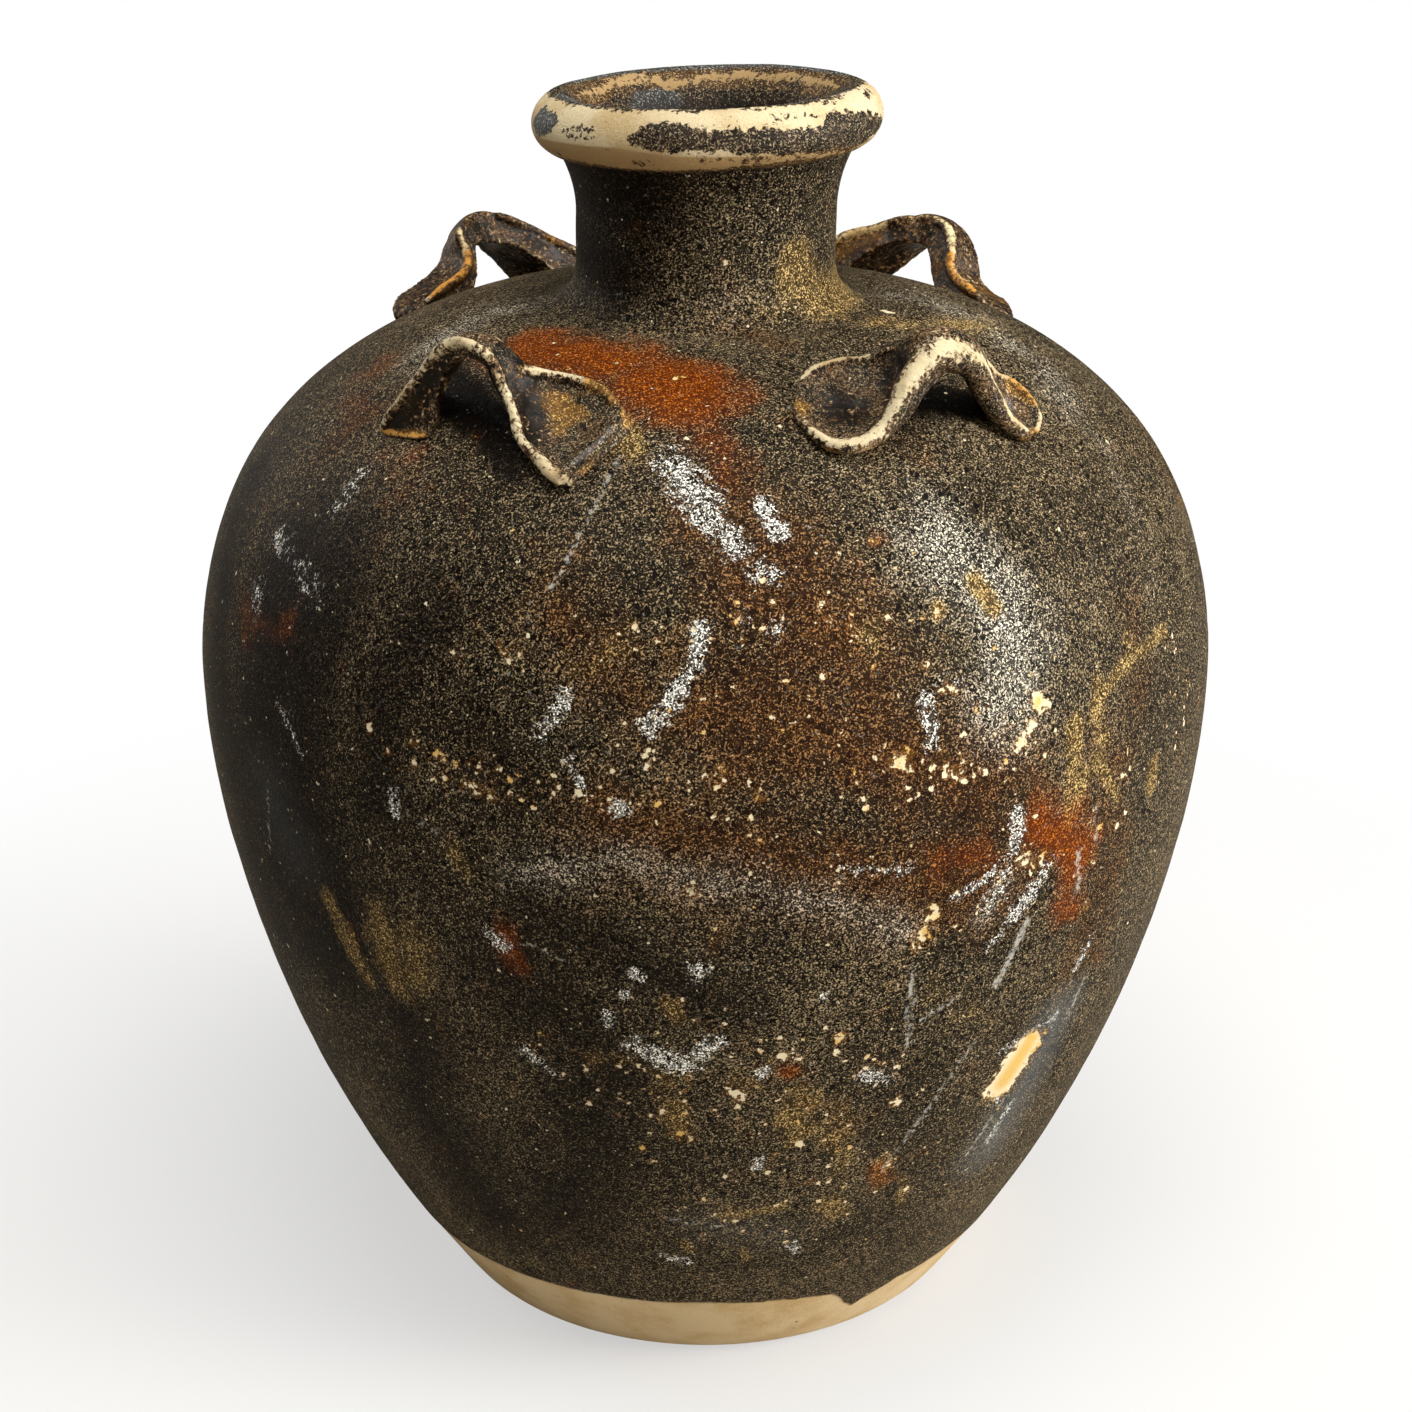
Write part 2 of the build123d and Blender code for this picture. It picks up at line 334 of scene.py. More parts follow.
# Glazed wall: one material for base, walls and neck, so that it runs over the seams unbroken. Each tone is a ground
# and a grain colour, then how far noise breaks it up and the shares between which it comes in

glazeLook = {
    "neutral": ((0.0040, 0.0026, 0.0013, 1), (0.250, 0.190, 0.108, 1)),
    "brown": ((0.0170, 0.0054, 0.0013, 1), (0.225, 0.112, 0.040, 1), 1.1, 0.15, 0.95),
    # Painted shade: darker ground and grains where less light falls
    "shade": ((0.0032, 0.0020, 0.0011, 1), (0.054, 0.038, 0.022, 1), 0.9, 0.15, 0.85),
    # A painted highlight: paler, denser grains where the window shines on the right shoulder, and painted light from
    # above on the shoulder top
    "paintedSheen": ((0.0160, 0.0140, 0.0105, 1), (0.640, 0.600, 0.500, 1), 0.8, 0.15, 0.95),
    "olive": ((0.0420, 0.0240, 0.0060, 1), (0.450, 0.315, 0.130, 1), 1.3, 0.25, 0.80),
    "rust": ((0.0950, 0.0165, 0.0012, 1), (0.370, 0.105, 0.009, 1), 1.2, 0.08, 0.85),
    "whiteScuff": (0.77, 0.76, 0.70, 1),
    "blueHaze": (0.17, 0.19, 0.20, 1),
    "creamChip": (0.88, 0.78, 0.54, 1),
    "ochreChip": (0.80, 0.52, 0.16, 1),
    "chipHalo": (0.240, 0.095, 0.014, 1),
    "drip": (0.060, 0.024, 0.006, 1),
    "footClay": ((0.80, 0.62, 0.37, 1), (0.66, 0.46, 0.22, 1)),
    "grainScale": 1000.0,
    "grainCover": 0.34,
    "roughness": 0.50,
    "shine": 0.06,
    "grainBump": 0.00013,
}


def makeWallGlaze(look):
    material, tree, surface, place = newMaterial("brownBlackGlaze")
    rust, brown, olive, paintedSheen = attributeShares(tree, "tones")
    scuff, chip, streak, bare = attributeShares(tree, "marks")
    fleckField, shade, glossAndShade, bluish = attributeShares(tree, "spots")

    drift = noiseNode(place, 26.0, detail=4.0, roughness=0.6)
    patch = noiseNode(place, 110.0, detail=4.0, roughness=0.65)
    colours = look["neutral"]
    # Two of these tones are painted light: the shade tone is painted shade, and the pale grey one is a painted
    # highlight
    for tone, share in dict(brown=brown, shade=shade, paintedSheen=paintedSheen, olive=olive, rust=rust).items():
        *more, swing, low, high = look[tone]
        colours = tint(tree, shareOf(share, drift if tone == "shade" else patch, swing, low, high), colours, more)
    ground, pale = colours
    scuffShare = scuff + (patch - 0.5) * 1.3
    scuffMask = useGroup(wearGroup, place, Share=scuffShare, Scale=700.0, Raggedness=0.95, Edge=0.20)["Mask"]
    scuffMask = scuffMask * ramp(scuff, 0.0, 0.30)
    pale = mixColours(tree, scuffMask, pale, look["whiteScuff"])
    cover = look["grainCover"] + (drift - 0.5) * 0.70 + (patch - 0.5) * 0.45 - shade * 0.14 - rust * 0.06
    # More pale grains here paint the highlight, and fewer under the lugs paint the shade beneath them
    cover = cover + paintedSheen * 0.24 + olive * 0.12 + scuffMask * 0.34 - glossAndShade * 0.6
    grain = useGroup(glazeGroup, place, Scale=look["grainScale"], Cover=cover, Ground=ground, Pale=pale)
    colour = mixColours(tree, bluish * 0.5, grain["Color"], look["blueHaze"])

    # Flecks of clay: the marked chips, and scattered ones where the fleck field is strong, each with an orange halo
    scatter = shareOf(fleckField, patch, 1.1, 0.05, 1.05)
    small = useGroup(fleckGroup, place, Share=scatter + 0.06, Scale=430.0, Size=0.29)
    large = useGroup(fleckGroup, place, Share=scatter * 0.50, Scale=240.0, Size=0.24)
    chipped = (chip + (noiseNode(place, 560.0, detail=3.0, roughness=0.65) - 0.5) * 1.7) * ramp(chip, 0.10, 0.30)
    fleck = largest(small["Mask"], large["Mask"], ramp(chipped, 0.66, 0.74))
    halo = largest(small["Halo"], large["Halo"], ramp(chipped, 0.42, 0.66))
    chipTone = largest(ramp(noiseNode(place, 140.0, detail=3.0), 0.52, 0.66), ramp(olive, 0.5, 1.0))
    colour = mixColours(tree, halo * 0.5, colour, look["chipHalo"])
    colour = mixColours(tree, fleck, colour, mixColours(tree, chipTone, look["creamChip"], look["ochreChip"]))
    streakMask = useGroup(wearGroup, place, Share=streak, Scale=900.0, Raggedness=1.1, Edge=0.25)["Mask"]
    colour = mixColours(tree, streakMask * 0.50, colour, look["whiteScuff"])

    # Bare foot below the glaze line, with a brown edge of run glaze
    light, deep = look["footClay"]
    clay = useGroup(clayGroup, place, Light=light, Deep=deep)["Color"]
    footMask = useGroup(wearGroup, place, Share=bare, Scale=240.0, Raggedness=0.10, Edge=0.02)["Mask"]
    toast = useGroup(wearGroup, place, Share=bare - 0.06, Scale=150.0, Raggedness=0.18, Edge=0.09)["Mask"]
    colour = mixColours(tree, footMask, colour, mixColours(tree, toast, look["drip"], clay))

    rough = look["roughness"] + grain["Grain"] * 0.15 - glossAndShade * 0.28
    rough = largest(rough, largest(footMask, fleck) * 0.85)
    finishSurface(surface, colour, rough, look["shine"], grain["Height"] - fleck * 1.2)
    return material


# Rim and lugs: the same glaze worn through on every raised edge

def makeWornGlaze(name, look):
    material, tree, surface, place = newMaterial(name)
    edge, ochre, glossAndShade, paintedSheen = attributeShares(tree, "worn")
    patch = noiseNode(place, 190.0, detail=4.0, roughness=0.65)
    colours = tint(tree, ramp(patch, 0.42, 0.62), glazeLook["neutral"], look["warm"])
    colours = tint(tree, shareOf(ochre, patch, 1.3, 0.35, 0.85), colours, look["ochre"])
    # A painted sheen: lighter grey glaze where the lugs' ridges and the rim's grey sheen bands catch the light
    ground, pale = tint(tree, shareOf(paintedSheen, patch, 0.8, 0.40, 0.80), colours, look["sheen"])
    # Where this share is high the glaze turns dark and glossy with few grains: on the lugs that is painted shade in
    # the arches and hollows, with the rear lugs' smoother glaze; on the rim it darkens the throat inward
    shadedGloss = ramp(glossAndShade, 0.15, 0.85)
    cover = look["grainCover"] + (patch - 0.5) * 0.6 - shadedGloss * 0.55
    grain = useGroup(glazeGroup, place, Scale=glazeLook["grainScale"], Cover=cover, Ground=ground, Pale=pale)
    glaze = mixColours(tree, shadedGloss * 0.85, grain["Color"], look["shadedGloss"])
    clay = useGroup(clayGroup, place, Light=look["clayLight"], Deep=look["clayDeep"])["Color"]
    clay = mixColours(tree, ramp(ochre + patch * 0.3, 0.55, 0.90), clay, look["orangeClay"])
    broken = edge + (patch - 0.5) * look["breaks"]
    ragged = {"Scale": look["wearScale"], "Raggedness": look["raggedness"]}
    wear = useGroup(wearGroup, place, Share=broken, Edge=look["edge"], **ragged)["Mask"]
    rind = useGroup(wearGroup, place, Share=broken + look["rindWidth"], Edge=0.10, **ragged)["Mask"]
    colour = mixColours(tree, wear, mixColours(tree, rind * 0.65, glaze, look["rindColour"]), clay)
    rough = largest(0.50 - shadedGloss * look["polish"], wear * look["clayRoughness"])
    finishSurface(surface, colour, rough, look["shine"], grain["Height"] * (1.0 - shadedGloss * 0.8) - wear)
    return material


rimLook = {
    "grainCover": 0.34, "wearScale": 760.0, "raggedness": 1.05, "breaks": 0.95, "edge": 0.08, "rindWidth": 0.07,
    "shine": 0.20, "polish": 0.14, "clayRoughness": 0.85,
    "warm": ((0.022, 0.011, 0.005, 1), (0.21, 0.16, 0.10, 1)),
    # On the rim the ochre share is the tan bands, so this ochre glaze and the orange clay are tan; on the roll's
    # lower front face that tan is painted shade
    "ochre": ((0.060, 0.028, 0.008, 1), (0.34, 0.22, 0.10, 1)),
    "sheen": ((0.036, 0.035, 0.033, 1), (0.24, 0.24, 0.22, 1)),
    # On the rim this dark colour is the darker brown glaze down in the throat
    "shadedGloss": (0.016, 0.009, 0.005, 1),
    "rindColour": (0.090, 0.040, 0.014, 1),
    "clayLight": (0.72, 0.60, 0.38, 1), "clayDeep": (0.56, 0.41, 0.21, 1), "orangeClay": (0.44, 0.29, 0.13, 1),
}
lugLook = {
    "grainCover": 0.38, "wearScale": 1000.0, "raggedness": 0.95, "breaks": 0.85, "edge": 0.12, "rindWidth": 0.16,
    "shine": 0.20, "polish": 0.10, "clayRoughness": 0.60,
    "warm": ((0.022, 0.010, 0.004, 1), (0.24, 0.16, 0.085, 1)),
    "ochre": ((0.130, 0.058, 0.010, 1), (0.50, 0.31, 0.09, 1)),
    "sheen": ((0.085, 0.075, 0.070, 1), (0.27, 0.24, 0.22, 1)),
    # This near-black colour is the painted shade in the lugs' arches and hollows
    "shadedGloss": (0.0060, 0.0040, 0.0026, 1),
    "rindColour": (0.150, 0.060, 0.013, 1),
    "clayLight": (0.68, 0.58, 0.37, 1), "clayDeep": (0.50, 0.34, 0.15, 1), "orangeClay": (0.62, 0.32, 0.075, 1),
}
rearLugLook = dict(lugLook, edge=0.22, breaks=0.60, rindWidth=0.30, grainCover=0.34, shine=0.30,
                   clayLight=(0.84, 0.70, 0.40, 1), clayDeep=(0.64, 0.42, 0.16, 1),
                   orangeClay=(0.66, 0.30, 0.045, 1), rindColour=(0.130, 0.052, 0.010, 1))
wallGlaze = makeWallGlaze(glazeLook)
rimGlaze = makeWornGlaze("wornRimGlaze", rimLook)
lugGlaze = makeWornGlaze("wornLugGlaze", lugLook)
rearLugGlaze = makeWornGlaze("rearLugGlaze", rearLugLook)
print("materials made")


# Outline of the jar, in metres: the same arcs as the solids

jar = {
    "footRadius": 68.8 * mm,
    "footRounding": 8 * mm,
    "belly": (123.5 * mm, 163 * mm),
    "haunch": (120.82 * mm, 130.56 * mm),
    "shoulderBreak": (116.06 * mm, 201.89 * mm),
    "shoulderTurn": (97.0 * mm, 228.64 * mm),
    "neckFoot": (39.9 * mm, 250.4 * mm),
    "neckStart": (30.4 * mm, 259.9 * mm),
    "flareStart": (30.4 * mm, 272 * mm),
    "rimSeat": (34.2 * mm, 286.5 * mm),
    "rimBulge": (40.4 * mm, 293.2 * mm),
    "rimCrest": (34.7 * mm, 300 * mm),
    "wall": 7 * mm,
    "floor": 9 * mm,
    "floorRounding": 14 * mm,
    "boreRadius": 25 * mm,
    "baseSeam": 24 * mm,
    "bellySeam": 177 * mm,
    "lap": 4 * mm,
    "neckSeam": 42.9 * mm,
    "neckLap": 3 * mm,
    "rimFold": (29.6 * mm, 289.5 * mm),
    "lip": (27.6 * mm, 295 * mm),
}
outlineStep = 1.35 * mm
hiddenStep = 5 * mm
fineStep = 0.1 * mm
samePlace = 1e-7  # metres


def arcThrough(centre, radius, fromAngle, toAngle, step):
    count = max(2, int(abs(radius * (toAngle - fromAngle)) / step) + 1)
    angles = np.linspace(fromAngle, toAngle, count)
    return np.stack([centre[0] + radius * np.cos(angles), centre[1] + radius * np.sin(angles)], axis=1)


def tangentArc(start, end, heading, step=outlineStep):
    # Points of the arc that leaves start along heading and ends at end, and its heading there
    start, end, heading = (np.array(v, float) for v in (start, end, heading))
    heading /= np.linalg.norm(heading)
    side = np.array([-heading[1], heading[0]])
    chord = end - start
    reach = chord @ chord / (2 * chord @ side)
    centre = start + side * reach
    first = math.atan2(start[1] - centre[1], start[0] - centre[0])
    last = math.atan2(end[1] - centre[1], end[0] - centre[0])
    turn = (last - first) % (2 * math.pi)
    if reach < 0:
        turn -= 2 * math.pi
    points = arcThrough(centre, abs(reach), first, first + turn, step)
    facing = 1 if reach > 0 else -1
    return points, np.array([-math.sin(last), math.cos(last)]) * facing


def threePointArc(start, middle, end, step=outlineStep):
    a, b, c = (np.array(v, float) for v in (start, middle, end))
    system = 2 * np.array([b - a, c - a])
    centre = np.linalg.solve(system, [b @ b - a @ a, c @ c - a @ a])
    radius = np.linalg.norm(a - centre)
    angles = [math.atan2(*(p - centre)[::-1]) for p in (a, b, c)]
    turn = (angles[2] - angles[0]) % (2 * math.pi)
    if (angles[1] - angles[0]) % (2 * math.pi) > turn:
        turn -= 2 * math.pi
    return arcThrough(centre, radius, angles[0], angles[0] + turn, step)


def resample(points, step):
    lengths = np.concatenate([[0], np.cumsum(np.linalg.norm(np.diff(points, axis=0), axis=1))])
    count = max(2, int(round(lengths[-1] / step)) + 1)
    at = np.linspace(0, lengths[-1], count)
    return np.stack([np.interp(at, lengths, points[:, k]) for k in range(2)], axis=1)


def makeOutline():
    # The whole outer line of the body, from the foot's corner to the neck's foot
    upperFlank, heading = tangentArc(jar["belly"], jar["haunch"], (0, -1), fineStep)
    lowerFlank, heading = tangentArc(jar["haunch"], (jar["footRadius"], 0), heading, fineStep)
    upperBelly, turned = tangentArc(jar["belly"], jar["shoulderBreak"], (0, 1), fineStep)
    shoulder, turned = tangentArc(jar["shoulderBreak"], jar["shoulderTurn"], turned, fineStep)
    top, turned = tangentArc(jar["shoulderTurn"], jar["neckFoot"], turned, fineStep)
    line = np.vstack([lowerFlank[::-1], upperFlank[::-1][1:], upperBelly[1:], shoulder[1:], top[1:]])
    # Round the foot's corner off with an arc that touches the floor and the flank
    rounding = jar["footRounding"]
    normal = outwardOf(line)
    centreLine = line - normal * rounding
    touch = int(np.argmin(np.abs(centreLine[:400, 1] - rounding)))
    centre = centreLine[touch]
    first = -math.pi / 2
    last = math.atan2(normal[touch][1], normal[touch][0])
    return np.vstack([arcThrough(centre, rounding, first, last, fineStep), line[touch + 1:]])


def outwardOf(line):
    slope = np.gradient(line, axis=0)
    facing = np.stack([slope[:, 1], -slope[:, 0]], axis=1)
    return facing / np.linalg.norm(facing, axis=1)[:, None]


bodyLine = makeOutline()
bodyOutward = outwardOf(bodyLine)
innerLine = bodyLine - bodyOutward * jar["wall"]


def cutLine(line, low, high):
    # The stretch of a line between two heights, with its ends exactly there
    order = np.argsort(line[:, 1], kind="stable")
    heights, radii = line[order, 1], line[order, 0]
    inside = line[(line[:, 1] > low) & (line[:, 1] < high)]
    ends = [[np.interp(h, heights, radii), h] for h in (low, high)]
    return np.vstack([ends[0], inside, ends[1]])


def radiusAt(line, height):
    order = np.argsort(line[:, 1], kind="stable")
    return float(np.interp(height, line[order, 1], line[order, 0]))


def joinSection(*stretches):
    # Stretches are (points, shown) pairs; shared end points are kept once. A shown stretch gets its own outward
    # vectors, so that two pieces move alike where they meet
    points, outward = [], []
    for stretch, shown in stretches:
        stretch = np.atleast_2d(np.array(stretch, float))
        vectors = outwardOf(stretch) if shown else np.zeros_like(stretch)
        for point, vector in zip(stretch, vectors):
            if points and np.linalg.norm(points[-1] - point) < samePlace:
                outward[-1] = outward[-1] if outward[-1].any() else vector
                continue
            points.append(point)
            outward.append(vector)
    if np.linalg.norm(points[0] - points[-1]) < samePlace:
        last = outward.pop()
        outward[0] = outward[0] if outward[0].any() else last
        points.pop()
    return np.array(points), np.array(outward)


print("outline worked out,", len(bodyLine), "points")


# Turning: a Geometry Nodes lathe carries a section round the axis and gives it the throwing rings and slight
# unevenness of hand work

throwing = {
    "around": 560,
    "unevenness": 0.55 * mm,
    "unevenScale": 11.0,
    "ringDepth": 0.16 * mm,
    "ringsPerMetre": 105.0,
    "seed": 4.0,
    "ringWander": 6.0,   # how fast the rings change on the way round
    "weld": 0.00001,
    "sharpFrom": 50,     # degrees
}


def makeLathe():
    tree = bpy.data.node_groups.new("turnedSection", "GeometryNodeTree")
    sockets = {"Section": ("Geometry", None), "Around": ("Int", 64), "Closed": ("Int", 1),
               "Unevenness": ("Float", 0.0), "Uneven Scale": ("Float", 10.0), "Ring Depth": ("Float", 0.0),
               "Rings Per Metre": ("Float", 100.0), "Seed": ("Float", 0.0), "Material": ("Material", None)}
    for label, (kind, value) in sockets.items():
        socket = tree.interface.new_socket(label, in_out="INPUT", socket_type="NodeSocket" + kind)
        if value is not None:
            socket.default_value = value
    tree.interface.new_socket("Wall", in_out="OUTPUT", socket_type="NodeSocketGeometry")
    given = wiresOf(addNode(tree, "NodeGroupInput"))

    def whole(operation, first, second):
        return wireOf(tree, "FunctionNodeIntegerMath", {0: first, 1: second}, operation=operation)

    section = {"Geometry": given["Section"]}
    points = wireOf(tree, "GeometryNodeAttributeDomainSize", section, "Point Count", component="MESH")
    columns = whole("ADD", given["Around"], 1)
    counts = {"Vertices X": whole("ADD", points, given["Closed"]), "Vertices Y": columns}
    grid = wireOf(tree, "GeometryNodeMeshGrid", counts, "Mesh")
    index = wireOf(tree, "GeometryNodeInputIndex")
    row = whole("MODULO", whole("DIVIDE", index, columns), points)
    angle = whole("MODULO", index, columns) * (2 * math.pi) / given["Around"]

    def carried(field):
        # A value of the section's row, turned to the column's place round the axis
        inputs = {**section, "Value": field, "Index": row}
        sample = wireOf(tree, "GeometryNodeSampleIndex", inputs, data_type="FLOAT_VECTOR")
        return wireOf(tree, "ShaderNodeVectorRotate", {"Vector": sample, "Angle": angle}, rotation_type="Z_AXIS")

    def unevenness(**inputs):
        inputs["W"] = given["Seed"]
        return wireOf(tree, "ShaderNodeTexNoise", inputs, noise_dimensions="4D")

    place = carried(wireOf(tree, "GeometryNodeInputPosition"))
    outward = carried(wireOf(tree, "GeometryNodeInputNamedAttribute", {"Name": "outward"}, data_type="FLOAT_VECTOR"))
    sway = unevenness(Scale=given["Uneven Scale"], Detail=2.0, Vector=place)
    x, y, z = wiresOf(addNode(tree, "ShaderNodeSeparateXYZ", {"Vector": place})).values()
    aroundScale = throwing["ringWander"]
    stretched = {"X": x * aroundScale, "Y": y * aroundScale, "Z": z * given["Rings Per Metre"]}
    rings = unevenness(Vector=wireOf(tree, "ShaderNodeCombineXYZ", stretched), Scale=1.0, Detail=1.0)
    push = (sway - 0.5) * (given["Unevenness"] * 2.0) + (rings - 0.5) * (given["Ring Depth"] * 2.0)
    shift = wireOf(tree, "ShaderNodeVectorMath", {0: outward, "Scale": push}, operation="SCALE")
    shape = wireOf(tree, "GeometryNodeSetPosition", {"Geometry": grid, "Position": place, "Offset": shift})
    shape = wireOf(tree, "GeometryNodeStoreNamedAttribute", {"Geometry": shape, "Name": "outward", "Value": outward},
                   data_type="FLOAT_VECTOR", domain="POINT")
    shape = wireOf(tree, "GeometryNodeMergeByDistance", {"Geometry": shape, "Distance": throwing["weld"]})
    shape = wireOf(tree, "GeometryNodeSetShadeSmooth", {"Geometry": shape})
    shape = wireOf(tree, "GeometryNodeRealizeInstances", {"Geometry": shape})
    shape = wireOf(tree, "GeometryNodeSetMaterial", {"Geometry": shape, "Material": given["Material"]})
    addNode(tree, "NodeGroupOutput", {"Wall": shape})
    return tree


lathe = makeLathe()


def turnSection(name, section, material, settings):
    points, outward = section
    values = dict(throwing, **settings)
    openAtAxis = points[0][0] < samePlace and points[-1][0] < samePlace
    mesh = bpy.data.meshes.new(name + "Section")
    mesh.from_pydata([(r, 0, z) for r, z in points], [(k, k + 1) for k in range(len(points) - 1)], [])
    attribute = mesh.attributes.new("outward", "FLOAT_VECTOR", "POINT")
    attribute.data.foreach_set("vector", np.stack([outward[:, 0], 0 * outward[:, 0], outward[:, 1]], axis=1).ravel())
    blank = addObject(name + "Section", mesh)
    modifier = blank.modifiers.new("lathe", "NODES")
    modifier.node_group = lathe
    inputs = {"Around": values["around"], "Closed": 0 if openAtAxis else 1, "Unevenness": values["unevenness"],
              "Uneven Scale": values["unevenScale"], "Ring Depth": values["ringDepth"],
              "Rings Per Metre": values["ringsPerMetre"], "Seed": values["seed"], "Material": material}
    for socket in lathe.interface.items_tree:
        if socket.in_out == "INPUT" and socket.name in inputs:
            modifier[socket.identifier] = inputs[socket.name]
    return addObject(name, plainMesh(blank, name))


def plainMesh(blank, name):
    # What the modifier makes of the blank, as a mesh of its own
    shaped = blank.evaluated_get(bpy.context.evaluated_depsgraph_get())
    mesh = bpy.data.meshes.new_from_object(shaped)
    bpy.data.objects.remove(blank)
    mesh.name = name
    return mesh


def readPoints(mesh, attribute="position"):
    values = np.zeros(len(mesh.vertices) * 3, np.float32)
    mesh.attributes[attribute].data.foreach_get("vector", values)
    return values.reshape(-1, 3).astype(float)


def writePoints(mesh, points):
    mesh.vertices.foreach_set("co", points.astype(np.float32).ravel())


def turnOutward(mesh):
    # Enclosed volume from the faces: a negative one means that they point inwards
    mesh.calc_loop_triangles()
    corners = np.zeros(len(mesh.loop_triangles) * 3, np.int32)
    mesh.loop_triangles.foreach_get("vertices", corners)
    a, b, c = (readPoints(mesh)[corners.reshape(-1, 3)[:, k]] for k in range(3))
    if np.sum(a * np.cross(b, c)) < 0:
        mesh.flip_normals()


def finishTurned(mesh):
    mesh.attributes.remove(mesh.attributes["outward"])
    turnOutward(mesh)
    mesh.set_sharp_from_angle(angle=math.radians(throwing["sharpFrom"]))
    mesh.update()


# Marks on the glaze. Each is a stroke through points given as (degrees round from the front, height in mm), with
# the width of its soft edge in mm and a strength

tonePatches = {
    "rust": [
        ([(-42, 249), (-22, 249)], 19, 1), ([(-22, 249), (-12, 247)], 13, 0.65), ([(-9, 247), (-3, 246)], 20, 1.08),
        ([(-2, 242), (2, 238)], 13, 0.4), ([(-42, 232), (-37, 226)], 14, 0.32),
        ([(35, 160), (39, 156), (41, 148)], 13, 0.85), ([(40, 145), (41, 136)], 10, 0.6),
        ([(-58, 193), (-51, 195)], 9, 0.4), ([(-20, 143), (-19, 136)], 6, 0.6), ([(22, 72), (23, 68)], 6, 0.6),
        ([(9, 109)], 4, 0.9), ([(20, 223)], 5, 0.55), ([(24, 158), (32, 155)], 9, 0.4),
        ([(-72, 240), (-62, 236)], 12, 0.4),
    ],
    "brown": [
        ([(2, 230), (5, 218), (9, 206)], 24, 0.9), ([(-15, 212), (-8, 200), (-2, 190)], 24, 0.7),
        ([(8, 222), (14, 205), (16, 190)], 26, 0.95), ([(2, 194), (18, 186), (28, 172)], 32, 0.95),
        ([(-8, 170), (6, 164), (20, 154), (30, 150)], 26, 0.9), ([(-26, 184), (-14, 176)], 14, 0.35),
        ([(44, 172), (46, 150), (46, 122)], 20, 0.7), ([(52, 200), (50, 180)], 16, 0.55),
        ([(-14, 252), (4, 252), (22, 250)], 10, 0.6), ([(16, 243), (30, 238)], 14, 0.55),
        ([(-57, 237), (-60, 226)], 13, 0.6), ([(-12, 238), (-8, 236)], 8, 0.6), ([(-60, 200), (-70, 180)], 18, 0.35),
        ([(6, 108), (12, 98), (16, 88)], 16, 0.45), ([(150, 190), (190, 170), (215, 200)], 45, 0.8),
        ([(95, 150), (120, 120)], 30, 0.6), ([(84, 214), (112, 200), (132, 208)], 26, 0.6),
        ([(236, 120), (258, 140), (280, 132)], 32, 0.65), ([(168, 90), (190, 80)], 22, 0.5),
    ],
    "olive": [
        ([(38, 89.5), (40.2, 98)], 9, 1.1), ([(8, 104), (12, 100)], 7, 0.55),
        ([(14, 88), (17, 80), (17, 72)], 8, 0.6), ([(26, 66), (27, 58)], 5, 0.65),
        ([(44, 262), (60, 253), (84, 252)], 12, 1.15), ([(60, 250), (84, 246)], 12, 0.7),
        ([(24, 253), (50, 252)], 12, 0.62), ([(-13, 241), (-10, 238)], 6, 1.15), ([(-35, 138), (-35, 121)], 10, 0.85),
        ([(-43, 138), (-41, 124), (-39, 118)], 5, 0.95), ([(-32, 142), (-31, 120)], 8, 0.65),
        ([(-25, 160), (-24, 156)], 5, 0.7), ([(40, 181), (39, 163)], 4.5, 1.15), ([(41, 169), (39, 160)], 4, 1.1),
        ([(44, 188), (43, 181)], 5, 0.85), ([(44, 175)], 5.5, 0.95), ([(43, 171), (47, 159)], 3.6, 1.05),
        ([(54, 163), (54, 157)], 4, 1.2), ([(58, 191), (48, 189), (43, 184)], 3.4, 1),
        ([(50, 196), (50, 188)], 5, 0.6), ([(30, 214), (31.5, 209)], 5, 0.95), ([(25, 210)], 4.5, 0.85),
        ([(17, 208), (17, 204)], 6, 0.6), ([(-4, 129), (-3, 126)], 5, 0.9), ([(-3, 100), (-3, 93)], 7, 0.8),
        ([(9, 95), (12, 91), (10, 88)], 5.5, 0.95), ([(15, 64), (17, 60)], 7, 0.85), ([(2, 63), (10, 65)], 3.2, 0.85),
        ([(-3, 53), (-2, 49)], 3.5, 0.75), ([(5, 50), (6, 45)], 3.2, 0.8), ([(22, 75), (23, 68)], 5, 0.85),
        ([(-8, 112), (4, 106), (14, 92)], 20, 0.4), ([(20, 130), (32, 112)], 14, 0.4), ([(6, 78), (0, 60)], 14, 0.3),
        ([(-16, 200), (-6, 208)], 14, 0.4), ([(120, 200), (124, 186)], 8, 0.8), ([(176, 214), (182, 196)], 5, 0.85),
        ([(206, 92), (214, 78)], 8, 0.75), ([(86, 110), (92, 96)], 7, 0.75), ([(230, 150), (236, 132)], 8, 0.8),
    ],
    # Painted highlight: the window's highlight on the right shoulder, a lighter band across the belly, and the
    # shoulder top lit from above
    "paintedSheen": [
        ([(27, 222), (32, 212), (34, 202), (31, 190)], 22, 0.75), ([(30, 214), (33, 203)], 12, 0.85),
        ([(-18, 158), (-8, 164), (2, 159), (13, 152), (20, 144)], 13, 0.5), ([(31, 150), (29, 143)], 8, 0.55),
        ([(97, 250), (78, 245), (66, 234)], 17, 0.5), ([(-94, 252), (-77, 249), (-64, 244)], 15, 0.5),
        ([(66, 232), (60, 215), (58, 200)], 14, 0.3), ([(-6, 256), (16, 256), (40, 256)], 9, 0.3),
    ],
}
